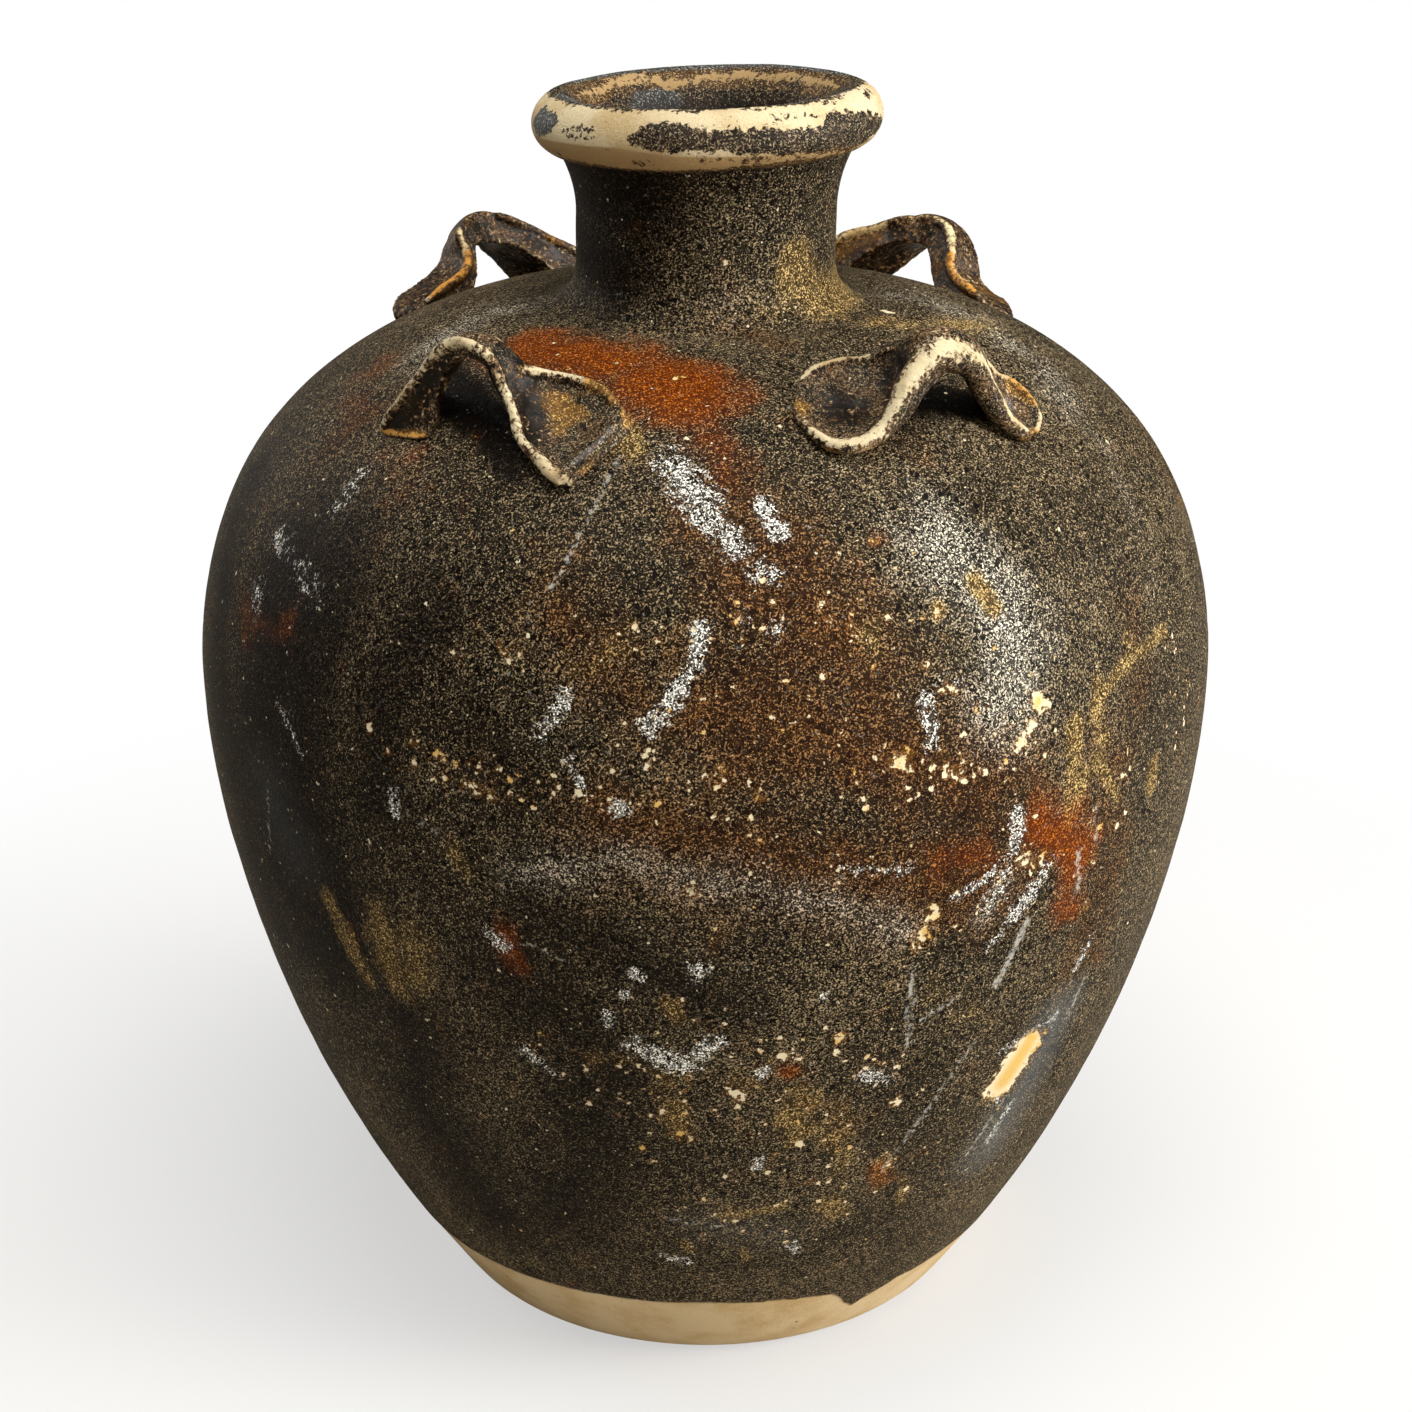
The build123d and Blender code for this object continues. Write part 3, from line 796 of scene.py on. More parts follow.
glazeMarks = {
    "scuff": [
        ([(-6, 237), (-3, 233.5)], 9.5, 0.66), ([(-3, 235), (0, 230)], 7, 0.88),
        ([(0, 229), (2, 226), (3.5, 223.5)], 5.4, 1), ([(7, 230), (8.5, 225)], 4, 0.95),
        ([(6, 220), (7.5, 219)], 4.6, 0.8), ([(7, 209)], 4.4, 0.9), ([(4, 211.5)], 3.2, 0.8),
        ([(-0.5, 210), (-1, 203.5), (-3, 198)], 3.4, 0.9), ([(-3, 198), (-5.5, 191.5)], 4.6, 0.75),
        ([(-14, 197), (-16, 188)], 4.4, 0.6), ([(22, 194.5), (22.5, 185)], 4.2, 0.8),
        ([(24, 198), (26, 196)], 4, 0.55), ([(-8, 174.5)], 3.6, 1),
        ([(-7.5, 117), (-5, 113.5), (-1.5, 113.5), (0, 117)], 5, 0.72), ([(-4.5, 113.5), (-2, 112.5)], 5.5, 0.85),
        ([(-1, 114), (1.5, 118.5)], 2.6, 0.9), ([(-10, 124.5), (-10, 122.5)], 3.2, 0.9),
        ([(-7, 136.5), (-6.5, 135)], 3.2, 0.9), ([(-1, 138), (-1, 135)], 3.6, 0.8), ([(-8, 131)], 2.6, 0.8),
        ([(-19.5, 111), (-16.5, 106)], 2.8, 0.8), ([(32, 166), (32, 157)], 3.4, 1.1),
        ([(32, 157), (29, 152), (25, 149)], 2.4, 0.8), ([(31, 153), (30, 147)], 6.5, 0.55),
        ([(37, 150), (35, 145), (33, 141)], 4.2, 0.75), ([(33, 141), (30, 133)], 2.6, 0.7),
        ([(43.5, 104), (39, 102), (36, 101)], 3.8, 0.75), ([(-32, 172), (-32, 166)], 3, 0.8),
        ([(-58, 212), (-50, 208), (-46, 205)], 5.5, 0.5), ([(-58, 200), (-57, 196)], 6, 0.5),
        ([(-49, 227), (-50, 221)], 4.8, 0.55), ([(-50, 180), (-45, 171)], 2.6, 0.6), ([(0, 138), (-2, 134)], 3, 0.55),
        ([(12, 129)], 3.2, 0.75), ([(6, 109)], 3.4, 0.85), ([(17, 105.5), (18.5, 104)], 3.4, 0.75),
        ([(19, 104), (21, 101.5)], 3, 0.65), ([(6, 82), (6, 79.5)], 2.4, 0.9), ([(12, 50), (13, 46)], 3.4, 0.6),
        ([(-6, 47), (-3, 45)], 3.4, 0.6), ([(-22, 142), (-20, 139)], 3.2, 0.75), ([(41, 80), (39, 70)], 2.8, 0.8),
        ([(37, 90), (38, 84)], 2.6, 0.75), ([(-13, 184), (-12, 178)], 3, 0.6), ([(13, 160), (20, 158)], 3, 0.5),
        ([(47, 125), (45, 118)], 3.4, 0.6), ([(160, 200), (164, 190)], 4.5, 0.8),
        ([(142, 214), (150, 204), (152, 192)], 6, 0.75), ([(92, 176), (98, 164)], 4, 0.8),
        ([(184, 132), (190, 124), (188, 116)], 4.6, 0.8), ([(224, 210), (230, 202)], 4.4, 0.7),
        ([(270, 150), (276, 138)], 4, 0.8), ([(205, 150), (198, 146)], 4, 0.8), ([(120, 180), (117, 174)], 3.5, 0.7),
        ([(250, 214), (256, 208)], 4, 0.75),
    ],
    "chip": [
        ([(19, 183), (19.2, 181)], 5.5, 0.85), ([(24, 179), (25, 177)], 4.2, 0.78),
        ([(35, 189), (35.6, 187.5)], 3.6, 1.2), ([(34.5, 184.5), (32, 180)], 3, 0.9), ([(24, 195.5)], 3.4, 0.8),
        ([(-1.5, 156)], 4.6, 0.9), ([(23, 147), (23, 145)], 4.2, 0.95), ([(22, 142), (21.5, 139.5)], 4.4, 0.9),
        ([(29, 147)], 2.8, 0.85), ([(44, 135)], 3, 1.05), ([(44, 147)], 2.8, 0.9), ([(33, 154), (36, 152)], 4.8, 0.8),
        ([(37.8, 89), (39.4, 95.5), (40.2, 98)], 8.2, 1.65), ([(14, 117)], 3.6, 1),
        ([(3, 104), (3.6, 102.5)], 3.8, 0.95), ([(22, 94.5)], 3.8, 0.95), ([(-3, 91.5), (-2, 90)], 4, 0.85),
        ([(-6, 82)], 2.8, 0.9), ([(-30, 182.5)], 3, 0.95), ([(-33, 178.5)], 2.6, 0.85),
        ([(-27, 181), (-26, 179)], 2.2, 0.9), ([(-23.5, 175.5), (-21, 174)], 3.2, 0.85),
        ([(-78, 253), (-74, 252.8)], 2.4, 1.3), ([(73.4, 250.2), (75, 250.3)], 2, 1.3), ([(-6, 247.5)], 1.7, 1.2),
        ([(3.2, 211.4)], 3, 0.85), ([(1.5, 183.6)], 3.2, 0.8), ([(5, 177)], 3.2, 0.8), ([(25.3, 194.6)], 3, 0.85),
        ([(19.6, 223)], 3.4, 0.75), ([(24.8, 209.7)], 3, 0.8), ([(-40.5, 133), (-40, 128)], 2.6, 0.7),
        ([(13, 210.5)], 3.6, 0.8), ([(16, 213)], 3, 0.8), ([(-8, 217)], 2.2, 0.8), ([(-21, 204)], 3.2, 0.72),
        ([(140, 172)], 4, 0.95), ([(110, 150), (112, 147)], 4.4, 0.95), ([(154, 140)], 3.8, 0.95),
        ([(192, 168), (194, 165)], 4.4, 0.95), ([(216, 134)], 3.8, 0.9), ([(248, 168)], 4, 0.95),
        ([(176, 120), (178, 116)], 4.2, 0.9), ([(232, 196)], 4, 0.95), ([(262, 110)], 4.2, 0.9),
        ([(100, 96)], 3.8, 0.9),
    ],
    "streak": [
        ([(35, 138), (32, 122)], 1.7, 0.8), ([(41, 151), (42, 140)], 1.4, 0.8), ([(43, 160), (44, 150)], 1.1, 0.55),
        ([(21, 133), (22, 112)], 1.5, 0.65), ([(23, 118), (27, 122)], 1.2, 0.6), ([(31, 108), (22, 71)], 1.3, 0.55),
        ([(-12, 237), (-17, 214)], 0.9, 0.6), ([(46.5, 100), (47.5, 112)], 1.3, 0.6), ([(-5, 62), (4, 58)], 1.1, 0.6),
        ([(-34, 170), (-27, 163)], 0.9, 0.55), ([(39, 84), (36, 68)], 1.1, 0.6), ([(-19, 142), (-14, 138)], 0.8, 0.5),
        ([(-52, 160), (-54, 140)], 1.2, 0.45), ([(152, 182), (166, 160)], 1.3, 0.65),
        ([(280, 190), (268, 160)], 1.2, 0.6),
    ],
}
glazeSpots = {
    "flecks": [
        ([(12, 213), (18, 210), (24, 205), (26, 196)], 18, 0.72),
        ([(15, 184), (20, 180), (27, 180), (34, 184)], 17, 1), ([(-2, 190), (-5, 181), (4, 180)], 17, 0.66),
        ([(-34, 183), (-26, 180), (-18, 177), (-4, 176)], 8, 1.05),
        ([(-10, 108), (0, 96), (10, 88), (20, 68)], 26, 0.66), ([(0, 118), (12, 112), (22, 104)], 18, 0.75),
        ([(34, 156), (28, 146), (22, 140)], 13, 0.95), ([(36, 190), (40, 184), (36, 172)], 13, 0.66),
        ([(13, 211), (4, 212), (-4, 208)], 16, 0.66), ([(17, 221), (10, 208)], 14, 0.5),
        ([(8, 196), (16, 194)], 18, 0.5), ([(-24, 206), (-18, 200)], 12, 0.42),
        ([(0, 168), (10, 160), (18, 158)], 16, 0.42), ([(-46, 172), (-38, 178)], 12, 0.4),
        ([(-20, 100), (-14, 112)], 14, 0.45), ([(44, 150), (48, 168)], 12, 0.65), ([(62, 190), (60, 160)], 18, 0.45),
        ([(0, 60), (14, 56)], 16, 0.55), ([(100, 140), (130, 110), (170, 130)], 26, 0.75),
        ([(130, 190), (160, 176), (190, 170)], 18, 0.8), ([(206, 128), (226, 120)], 18, 0.7),
        ([(200, 190), (240, 170), (270, 190)], 26, 0.65),
    ],
    # Painted shade: mostly the left flank and the lower front, the neck's left side and its band under the rim, and
    # the shoulder under and below the front lugs
    "shade": [
        ([(-74, 215), (-66, 180), (-60, 150), (-58, 120)], 34, 0.75),
        ([(-50, 204), (-50, 170), (-46, 130)], 42, 1.15), ([(-20, 132), (-10, 110), (-14, 80), (-20, 56)], 30, 0.7),
        ([(-34, 110), (-36, 80), (-30, 50)], 26, 0.75), ([(20, 96), (28, 80), (26, 56)], 20, 0.45),
        ([(-30, 208), (-34, 190), (-34, 165)], 24, 0.75), ([(-24, 190), (-18, 178)], 20, 0.6),
        ([(-18, 150), (-10, 143), (-4, 134), (2, 128)], 18, 0.65), ([(-40, 108), (-32, 84), (-24, 60)], 26, 0.55),
        ([(-14, 108), (-16, 90)], 18, 0.6), ([(-80, 284), (-55, 286), (-36, 284)], 26, 1.2),
        ([(-70, 268), (-44, 262)], 18, 0.95), ([(-20, 288), (10, 290), (40, 290), (70, 288)], 15, 0.65),
        ([(-54, 243), (-44, 242), (-37, 240)], 9, 1.4), ([(-37, 240), (-31, 237), (-26, 233)], 6, 1.2),
        ([(38, 242), (43, 242), (46, 240)], 7, 1.3), ([(-30, 226), (-24, 222)], 12, 0.45),
        ([(34, 226), (30, 230)], 10, 0.45), ([(20, 170), (8, 176)], 9, 0.35), ([(0, 44), (16, 44)], 16, 0.35),
    ],
    # Under the four lugs the glaze is glossier, which is real, and has fewer pale grains, which is painted shade
    # beneath the arches
    "glossAndShade": [
        ([(-53, 243), (-41, 242), (-36, 240), (-31, 238)], 9, 1), ([(36, 243), (41, 242), (45, 241)], 8, 0.95),
        ([(-138, 244), (-129, 244)], 9, 0.9), ([(128, 244), (138, 244)], 9, 0.9),
    ],
    "bluish": [
        ([(44, 104), (42, 84), (40, 66)], 13, 0.8), ([(-52, 158), (-48, 146)], 14, 0.25),
        ([(0, 60), (10, 54)], 10, 0.2),
    ],
}
glazeLineHeights = [(-180, 24), (-120, 23), (-75, 22.5), (-52, 23), (-30, 25), (0, 26.5), (12, 25.5), (22, 23.5),
                    (26, 16.5), (28, 13.5), (30, 15.5), (36, 20), (52, 21), (90, 22), (140, 23), (180, 24)]
markSettings = {
    "chipDepth": 0.45 * mm,
    "chipEdge": (0.42, 0.16),   # share of a stroke at which a chip starts, and the share over which it gets deep
    "chipRaggedness": 0.6,
    "cutFrom": 3.9,             # mm: a chip stroke wider than this is cut into the mesh too
    "lipDepth": 0.25 * mm,      # how thick the glaze ends above the foot
    "lipEdge": (0.47, 0.05),
    "glazeFade": 9 * mm,
    "creaseDepth": 0.12 * mm,   # at the belly joint
    "creaseWidth": 1.1 * mm,
    "raggedScale": 330,
    "strokeSteps": 6,
}
rimLean = {"angle": math.radians(1.7), "aside": 0.3 * mm, "from": 262 * mm, "over": 24 * mm}


def onBody(azimuth, height):
    # The point of the outer surface at an azimuth and a height; heights above the shoulder's end lie on the neck
    radius = radiusAt(bodyLine, height * mm) if height * mm < jar["neckFoot"][1] else jar["neckStart"][0]
    turn = math.radians(azimuth)
    return np.array([radius * math.sin(turn), -radius * math.cos(turn), height * mm])


def strokeField(points, through, width, strength):
    line = []
    for first, second in zip(through, through[1:] or through):
        for share in np.linspace(0, 1, markSettings["strokeSteps"])[:-1]:
            line.append(onBody(*(np.array(first) * (1 - share) + np.array(second) * share)))
    line = np.array([*line, onBody(*through[-1])])
    nearest = np.full(len(points), np.inf)
    for start, end in zip(line, np.vstack([line[1:], line[-1:]])):
        run = end - start
        length = run @ run
        share = np.clip((points - start) @ run / length, 0, 1) if length > 0 else np.zeros(len(points))
        nearest = np.minimum(nearest, np.linalg.norm(points - start - share[:, None] * run, axis=1))
    return np.clip(1 - nearest / (width * mm), 0, 1) * strength


def fieldOf(points, strokes):
    return np.max([strokeField(points, *stroke) for stroke in strokes], axis=0)


def writeColours(mesh, name, channels):
    values = np.stack([np.clip(channel, 0, 1.5) for channel in channels], axis=1).astype(np.float32)
    mesh.attributes.new(name, "FLOAT_COLOR", "POINT").data.foreach_set("color", values.ravel())


def azimuthOf(points):
    # Degrees round from the front
    return np.degrees(np.arctan2(points[:, 0], -points[:, 1]))


def risen(values, start, over):
    return np.clip((values - start) / over, 0, 1)


def settle(points):
    # The rim leans: its right side stands higher than its left
    share = risen(points[:, 2], rimLean["from"], rimLean["over"])
    share = share * share * (3 - 2 * share)
    moved = points.copy()
    moved[:, 2] += share * points[:, 0] * math.tan(rimLean["angle"])
    moved[:, 0] += share * rimLean["aside"]
    return moved


def weather(mesh):
    points, outward = readPoints(mesh), readPoints(mesh, "outward")
    chip = fieldOf(points, glazeMarks["chip"])
    deep = fieldOf(points, [stroke for stroke in glazeMarks["chip"] if stroke[1] > markSettings["cutFrom"]])
    line = np.interp(azimuthOf(points), *np.array(glazeLineHeights, float).T) * mm
    bare = np.clip(0.5 + (line - points[:, 2]) / markSettings["glazeFade"], 0, 1)
    ragged = np.array([noise.noise(Vector(p) * markSettings["raggedScale"]) for p in points]) * 0.5
    deep = deep + ragged * markSettings["chipRaggedness"] * (deep > 0)
    cut = risen(deep, *markSettings["chipEdge"]) * markSettings["chipDepth"]
    lip = risen(bare, *markSettings["lipEdge"]) * markSettings["lipDepth"]
    crease = np.exp(-(((points[:, 2] - jar["bellySeam"]) / markSettings["creaseWidth"]) ** 2))
    crease = crease * np.clip(0.8 + ragged, 0, 1) * markSettings["creaseDepth"]
    points = settle(points - outward * (cut + lip + crease)[:, None])
    writePoints(mesh, points)
    writeColours(mesh, "tones", [fieldOf(points, strokes) for strokes in tonePatches.values()])
    scuff, streak = fieldOf(points, glazeMarks["scuff"]), fieldOf(points, glazeMarks["streak"])
    writeColours(mesh, "marks", [scuff, chip, streak, bare])
    writeColours(mesh, "spots", [fieldOf(points, strokes) for strokes in glazeSpots.values()])
    finishTurned(mesh)


def dress(piece, nodeName):
    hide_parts(nodeName)
    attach(piece, "root")


# Base, walls and neck

halfWall = bodyLine - bodyOutward * jar["wall"] / 2


def baseSection():
    seam, top = jar["baseSeam"], jar["baseSeam"] + jar["lap"]
    middle = radiusAt(halfWall, seam + jar["lap"] / 2)
    rounding, floor = jar["floorRounding"], jar["floor"]
    inner = cutLine(innerLine, floor + 2 * mm, top)
    corner, _ = tangentArc((inner[0][0] - rounding * 0.75, floor), inner[-1], (1, 0), 2 * mm)
    outer = cutLine(bodyLine, 0.0, seam)
    return joinSection(
        (np.linspace((0, 0), (outer[0][0], 0), 12), False),
        (resample(outer, outlineStep), True),
        ([(middle, seam), (middle, top)], False),
        (corner[::-1], False),
        (np.linspace(corner[0], (0, floor), 8), False),
    )


def lowerWallSection():
    low, high, lap = jar["baseSeam"], jar["bellySeam"], jar["lap"]
    middleLow, middleHigh = radiusAt(halfWall, low + lap / 2), radiusAt(halfWall, high + lap / 2)
    return joinSection(
        (resample(cutLine(bodyLine, low, high), outlineStep), True),
        ([(middleHigh, high), (middleHigh, high + lap)], False),
        (resample(cutLine(innerLine, low + lap, high + lap), hiddenStep)[::-1], False),
        ([(middleLow, low + lap), (middleLow, low)], False),
    )


def neckJoint():
    # Where upper wall and neck collar meet: the collar's edge, the lap's edge, the ledge and the hollow's top
    return (jar["neckSeam"], jar["neckSeam"] - jar["neckLap"],
            jar["neckFoot"][1] - jar["wall"] / 2, jar["neckFoot"][1] - jar["wall"])


def upperWallSection():
    low, lap = jar["bellySeam"], jar["lap"]
    seam, innerEdge, ledge, hollowTop = neckJoint()
    middle = radiusAt(halfWall, low + lap / 2)
    inner = cutLine(innerLine, low + lap, hollowTop - 0.2 * mm)
    return joinSection(
        (resample(cutLine(bodyLine, low, heightAt(bodyLine, seam)), outlineStep), True),
        ([(seam, ledge), (innerEdge, ledge), (innerEdge, hollowTop)], False),
        (resample(inner, hiddenStep)[::-1], False),
        ([(middle, low + lap), (middle, low)], False),
    )


def heightAt(line, radius):
    upper = line[line[:, 1] > jar["belly"][1]]
    return float(np.interp(radius, upper[::-1, 0], upper[::-1, 1]))


def neckSection():
    seam, innerEdge, ledge, hollowTop = neckJoint()
    bore, fold = jar["boreRadius"], jar["rimFold"]
    foot = bodyLine[(bodyLine[:, 0] < seam) & (bodyLine[:, 1] > jar["belly"][1])]
    fillet, _ = tangentArc(jar["neckStart"], jar["neckFoot"], (0, -1), outlineStep)
    flare, _ = tangentArc(jar["flareStart"], jar["rimSeat"], (0, 1), outlineStep)
    outer = np.vstack([[(seam, heightAt(bodyLine, seam))], foot, fillet[::-1], [jar["flareStart"]], flare])
    return joinSection(
        (resample(outer, outlineStep), True),
        ([(fold[0], jar["rimSeat"][1]), fold, (bore, fold[1])], False),
        (np.linspace((bore, fold[1]), (bore, hollowTop), 14), False),
        ([(innerEdge, hollowTop), (innerEdge, ledge), (seam, ledge)], False),
    )


wallPieces = {
    "footBase": (baseSection, "base", "bare_stoneware", {}),
    "lowerWall": (lowerWallSection, "lower_wall", "brown_black_glaze", {}),
    "upperWall": (upperWallSection, "upper_wall", "brown_black_glaze", {}),
    "neckCollar": (neckSection, "neck_collar", "brown_black_glaze", {"around": 320}),
}
for name, (section, node, slot, changes) in wallPieces.items():
    piece = turnSection(name, section(), wallGlaze, changes)
    weather(piece.data)
    dress(piece, node)
    print(name, "turned,", len(piece.data.polygons), "faces")


# Rolled rim

def rimStretches():
    bore, fold, lip, fine = jar["boreRadius"], jar["rimFold"], jar["lip"], 0.5 * mm
    roll = threePointArc(jar["rimSeat"], jar["rimBulge"], jar["rimCrest"], fine)
    edge, _ = tangentArc(lip, jar["rimCrest"], (lip[0] - bore, lip[1] - fold[1]), fine)
    return roll, edge[::-1], np.linspace(lip, (bore, fold[1]), 8)


def rimSection():
    hidden = [jar["rimFold"], (jar["rimFold"][0], jar["rimSeat"][1])]
    return joinSection(*((stretch, True) for stretch in rimStretches()), (hidden, False))


# Bands on the rim: rows of degrees round from the front, then two places in mm along its section, which runs from
# the seat (0) over the bulge (10), crest (20) and lip (29) into the throat. The figure after them is its strength

rimWear = {
    "around": 440,
    "unevenness": 0.45 * mm,
    "unevenScale": 45.0,
    "softness": 1.0,
    "margin": 20,      # degrees before a band's first row that still count as beside it
    "degree": 0.65,    # mm on the rim's surface
    "throat": (27, 6),  # where it starts, in mm along the section, and over how many it gets dark
    "throatGloss": 0.55,
    "rubbed": [
        ([(-112, 12, 13), (-104, 9, 16.5), (-90, 4.5, 17.6), (-63, 4.2, 18.7), (-45, 3.8, 18.4), (-30, 3.3, 18.6),
        (-15, 3.4, 19.2), (0, 3.6, 19.5), (13, 3.9, 19.6), (27, 4.3, 18.6), (40, 4.2, 18.2), (54, 3.8, 19.6),
        (76, 4, 19.2), (92, 9, 18), (106, 12, 14)], 1), ([(96, 23.5, 25), (122, 23.5, 26.5), (142, 23, 26.3),
        (154, 24, 26), (163, 22.4, 26), (176, 23.2, 26.8), (190, 25, 27.6), (201, 25, 28), (207, 21, 26),
        (226, 22.4, 26), (238, 24, 27), (264, 24, 25.5)], 0.66), ([(128, 8, 10), (146, 5, 15), (168, 6, 14),
        (186, 9, 11)], 0.85), ([(204, 12, 13), (220, 6, 17), (236, 9, 14), (242, 11, 12)], 0.8),
    ],
    "glazed": [
        ([(-25, 11, 12), (-19, 9.2, 14.8), (-9, 8.6, 14.8), (-4, 8.5, 14.2), (2, 8.5, 13.3), (11, 8.2, 13),
        (21, 6.8, 12.7), (32, 6.1, 12), (39, 5.2, 11.7), (42, 4.8, 14.6), (50, 4.4, 14.1), (60, 5, 13), (72, 6.6, 11),
        (80, 7.4, 9)], 1), ([(-77, 10, 12), (-72, 8.8, 16), (-66, 9.2, 15.4), (-59, 11.4, 14.4),
        (-56, 12.4, 13)], 0.95), ([(-53, 10.6, 11.6), (-48, 12, 13), (-43, 12, 13), (-38, 11.6, 12.6)], 0.75),
        ([(-49, 10.3, 11), (-43, 10.2, 11.2), (-38, 10.6, 11.6)], 0.7), ([(-6, 6.2, 7.2), (2, 6, 7.4), (9, 5.6, 7),
        (15, 5.2, 7.2), (23, 4.6, 6.2)], 0.62), ([(22, 15.4, 16.8), (28, 15.2, 16.6), (32, 14.6, 15.8),
        (38, 13.4, 14.8)], 0.6), ([(24, 13.4, 14.4), (20, 13.6, 14.6)], 0.6), ([(-34, 17.4, 19.4),
        (-26, 17.6, 19.4)], 0.7), ([(-12, 17.8, 19.8), (-4, 17.4, 19.8)], 0.7), ([(12, 18, 20),
        (20, 17.4, 19.6)], 0.7), ([(44, 16.6, 18.6), (56, 17.6, 19.8)], 0.75), ([(70, 15, 17.4), (78, 16, 18)], 0.7),
        ([(-24, 5, 6.2), (-18, 5.2, 6.4)], 0.6), ([(30, 4.4, 5.8), (40, 4.2, 5.2)], 0.65), ([(-66, 5.4, 6.6),
        (-58, 5, 6.2)], 0.6), ([(-92, 5, 7), (-84, 4, 6), (-78, 5, 6)], 0.6),
    ],
    # The front tan band, on the roll's lower face from seat to bulge, is painted shade: tan in place of cream where
    # the roll turns down from the light. The second band is tan from crest to lip round the back
    "tan": [
        ([(-95, 2, 8), (-60, 2, 9), (-30, 2, 9.5), (-10, 2, 8), (20, 2, 7), (60, 2, 6), (80, 2, 6)], 0.95),
        ([(100, 20, 29), (180, 20, 29), (262, 20, 29)], 0.7),
    ],
    "greySheen": [
        ([(-80, 18.5, 24), (0, 19.5, 25), (70, 19, 24)], 0.8), ([(-77, 8, 17), (-56, 9, 16)], 0.9), ([(110, 15, 22),
        (180, 15, 23), (250, 15, 22)], 0.75), ([(198, 27, 36), (218, 27, 38)], 0.8),
    ],
}


def bandField(azimuth, along, rows, strength):
    # 0.5 on a band's edge, rising to its strength inside it
    rows = np.array(sorted(rows), float)
    margin = rimWear["margin"]
    turned = (azimuth - rows[0, 0] + margin) % 360 + rows[0, 0] - margin
    low, high = np.interp(turned, rows[:, 0], rows[:, 1]), np.interp(turned, rows[:, 0], rows[:, 2])
    beyond = np.maximum(np.maximum(rows[0, 0] - turned, turned - rows[-1, 0]), 0) * rimWear["degree"]
    inside = np.minimum(along - low, high - along) - beyond
    return np.clip(0.5 + inside / (2 * rimWear["softness"]), 0, 1) * strength


def weatherRim(mesh):
    points = readPoints(mesh)
    azimuth, radius = azimuthOf(points), np.hypot(points[:, 0], points[:, 1])
    roll, edge, throat = rimStretches()
    line = resample(np.vstack([roll, edge[1:], throat[1:]]), 0.1 * mm)
    lengths = np.concatenate([[0], np.cumsum(np.linalg.norm(np.diff(line, axis=0), axis=1))]) / mm
    gaps = np.hypot(radius[:, None] - line[None, :, 0], points[:, 2][:, None] - line[None, :, 1])
    along = lengths[np.argmin(gaps, axis=1)]
    rubbed, glazed, tan, grey = (np.max([bandField(azimuth, along, *band) for band in rimWear[name]], axis=0)
                                 for name in ("rubbed", "glazed", "tan", "greySheen"))
    inside = risen(along, *rimWear["throat"]) * rimWear["throatGloss"]
    writePoints(mesh, settle(points))
    writeColours(mesh, "worn", [np.minimum(rubbed, 1 - glazed), tan, inside, grey])
    finishTurned(mesh)


rim = turnSection("rolledRim", rimSection(), rimGlaze, rimWear)
weatherRim(rim.data)
dress(rim, "rolled_rim")
print("rim turned,", len(rim.data.polygons), "faces")


# Lugs: each is a strap of clay pressed on at both ends. A web is a band given by its two edges, station by station; a
# roll is a rounded ridge. Places are millimetres along the shoulder, down its slope and above it. Webs and rolls are
# joined by a voxel remesh, as soft clay is

shoulder = {"ring": 79 * mm, "arc": 91.6 * mm, "arcCentre": (37.65 * mm, 158.83 * mm)}
lugMesh = {
    "voxel": 0.42 * mm,
    "softening": 4,      # rounds of smoothing
    "burial": 2.2,       # mm that a seated stretch goes into the shoulder
    "stationSteps": 110,
    "bandSteps": 17,
    "rollSides": 14,
    "rollSteps": 12,     # for each point
    "brushSteps": 8,
    "finest": 0.3,       # mm, the least radius of a roll or a brush
    "lumps": (0.34 * mm, 190.0),
    "grit": (0.10 * mm, 620.0),
    "ridgeReach": 26,    # rounds of smoothing that tell a ridge from a hollow
    "ridgeWear": (0.18, 0.28, 0.44),   # on flat clay, more for each mm of ridge, and at most
    # Hollows get painted shade: dark, glossy glaze that grows with their depth
    "hollowGlossAndShade": (-0.15, -0.55, 0.6),
}

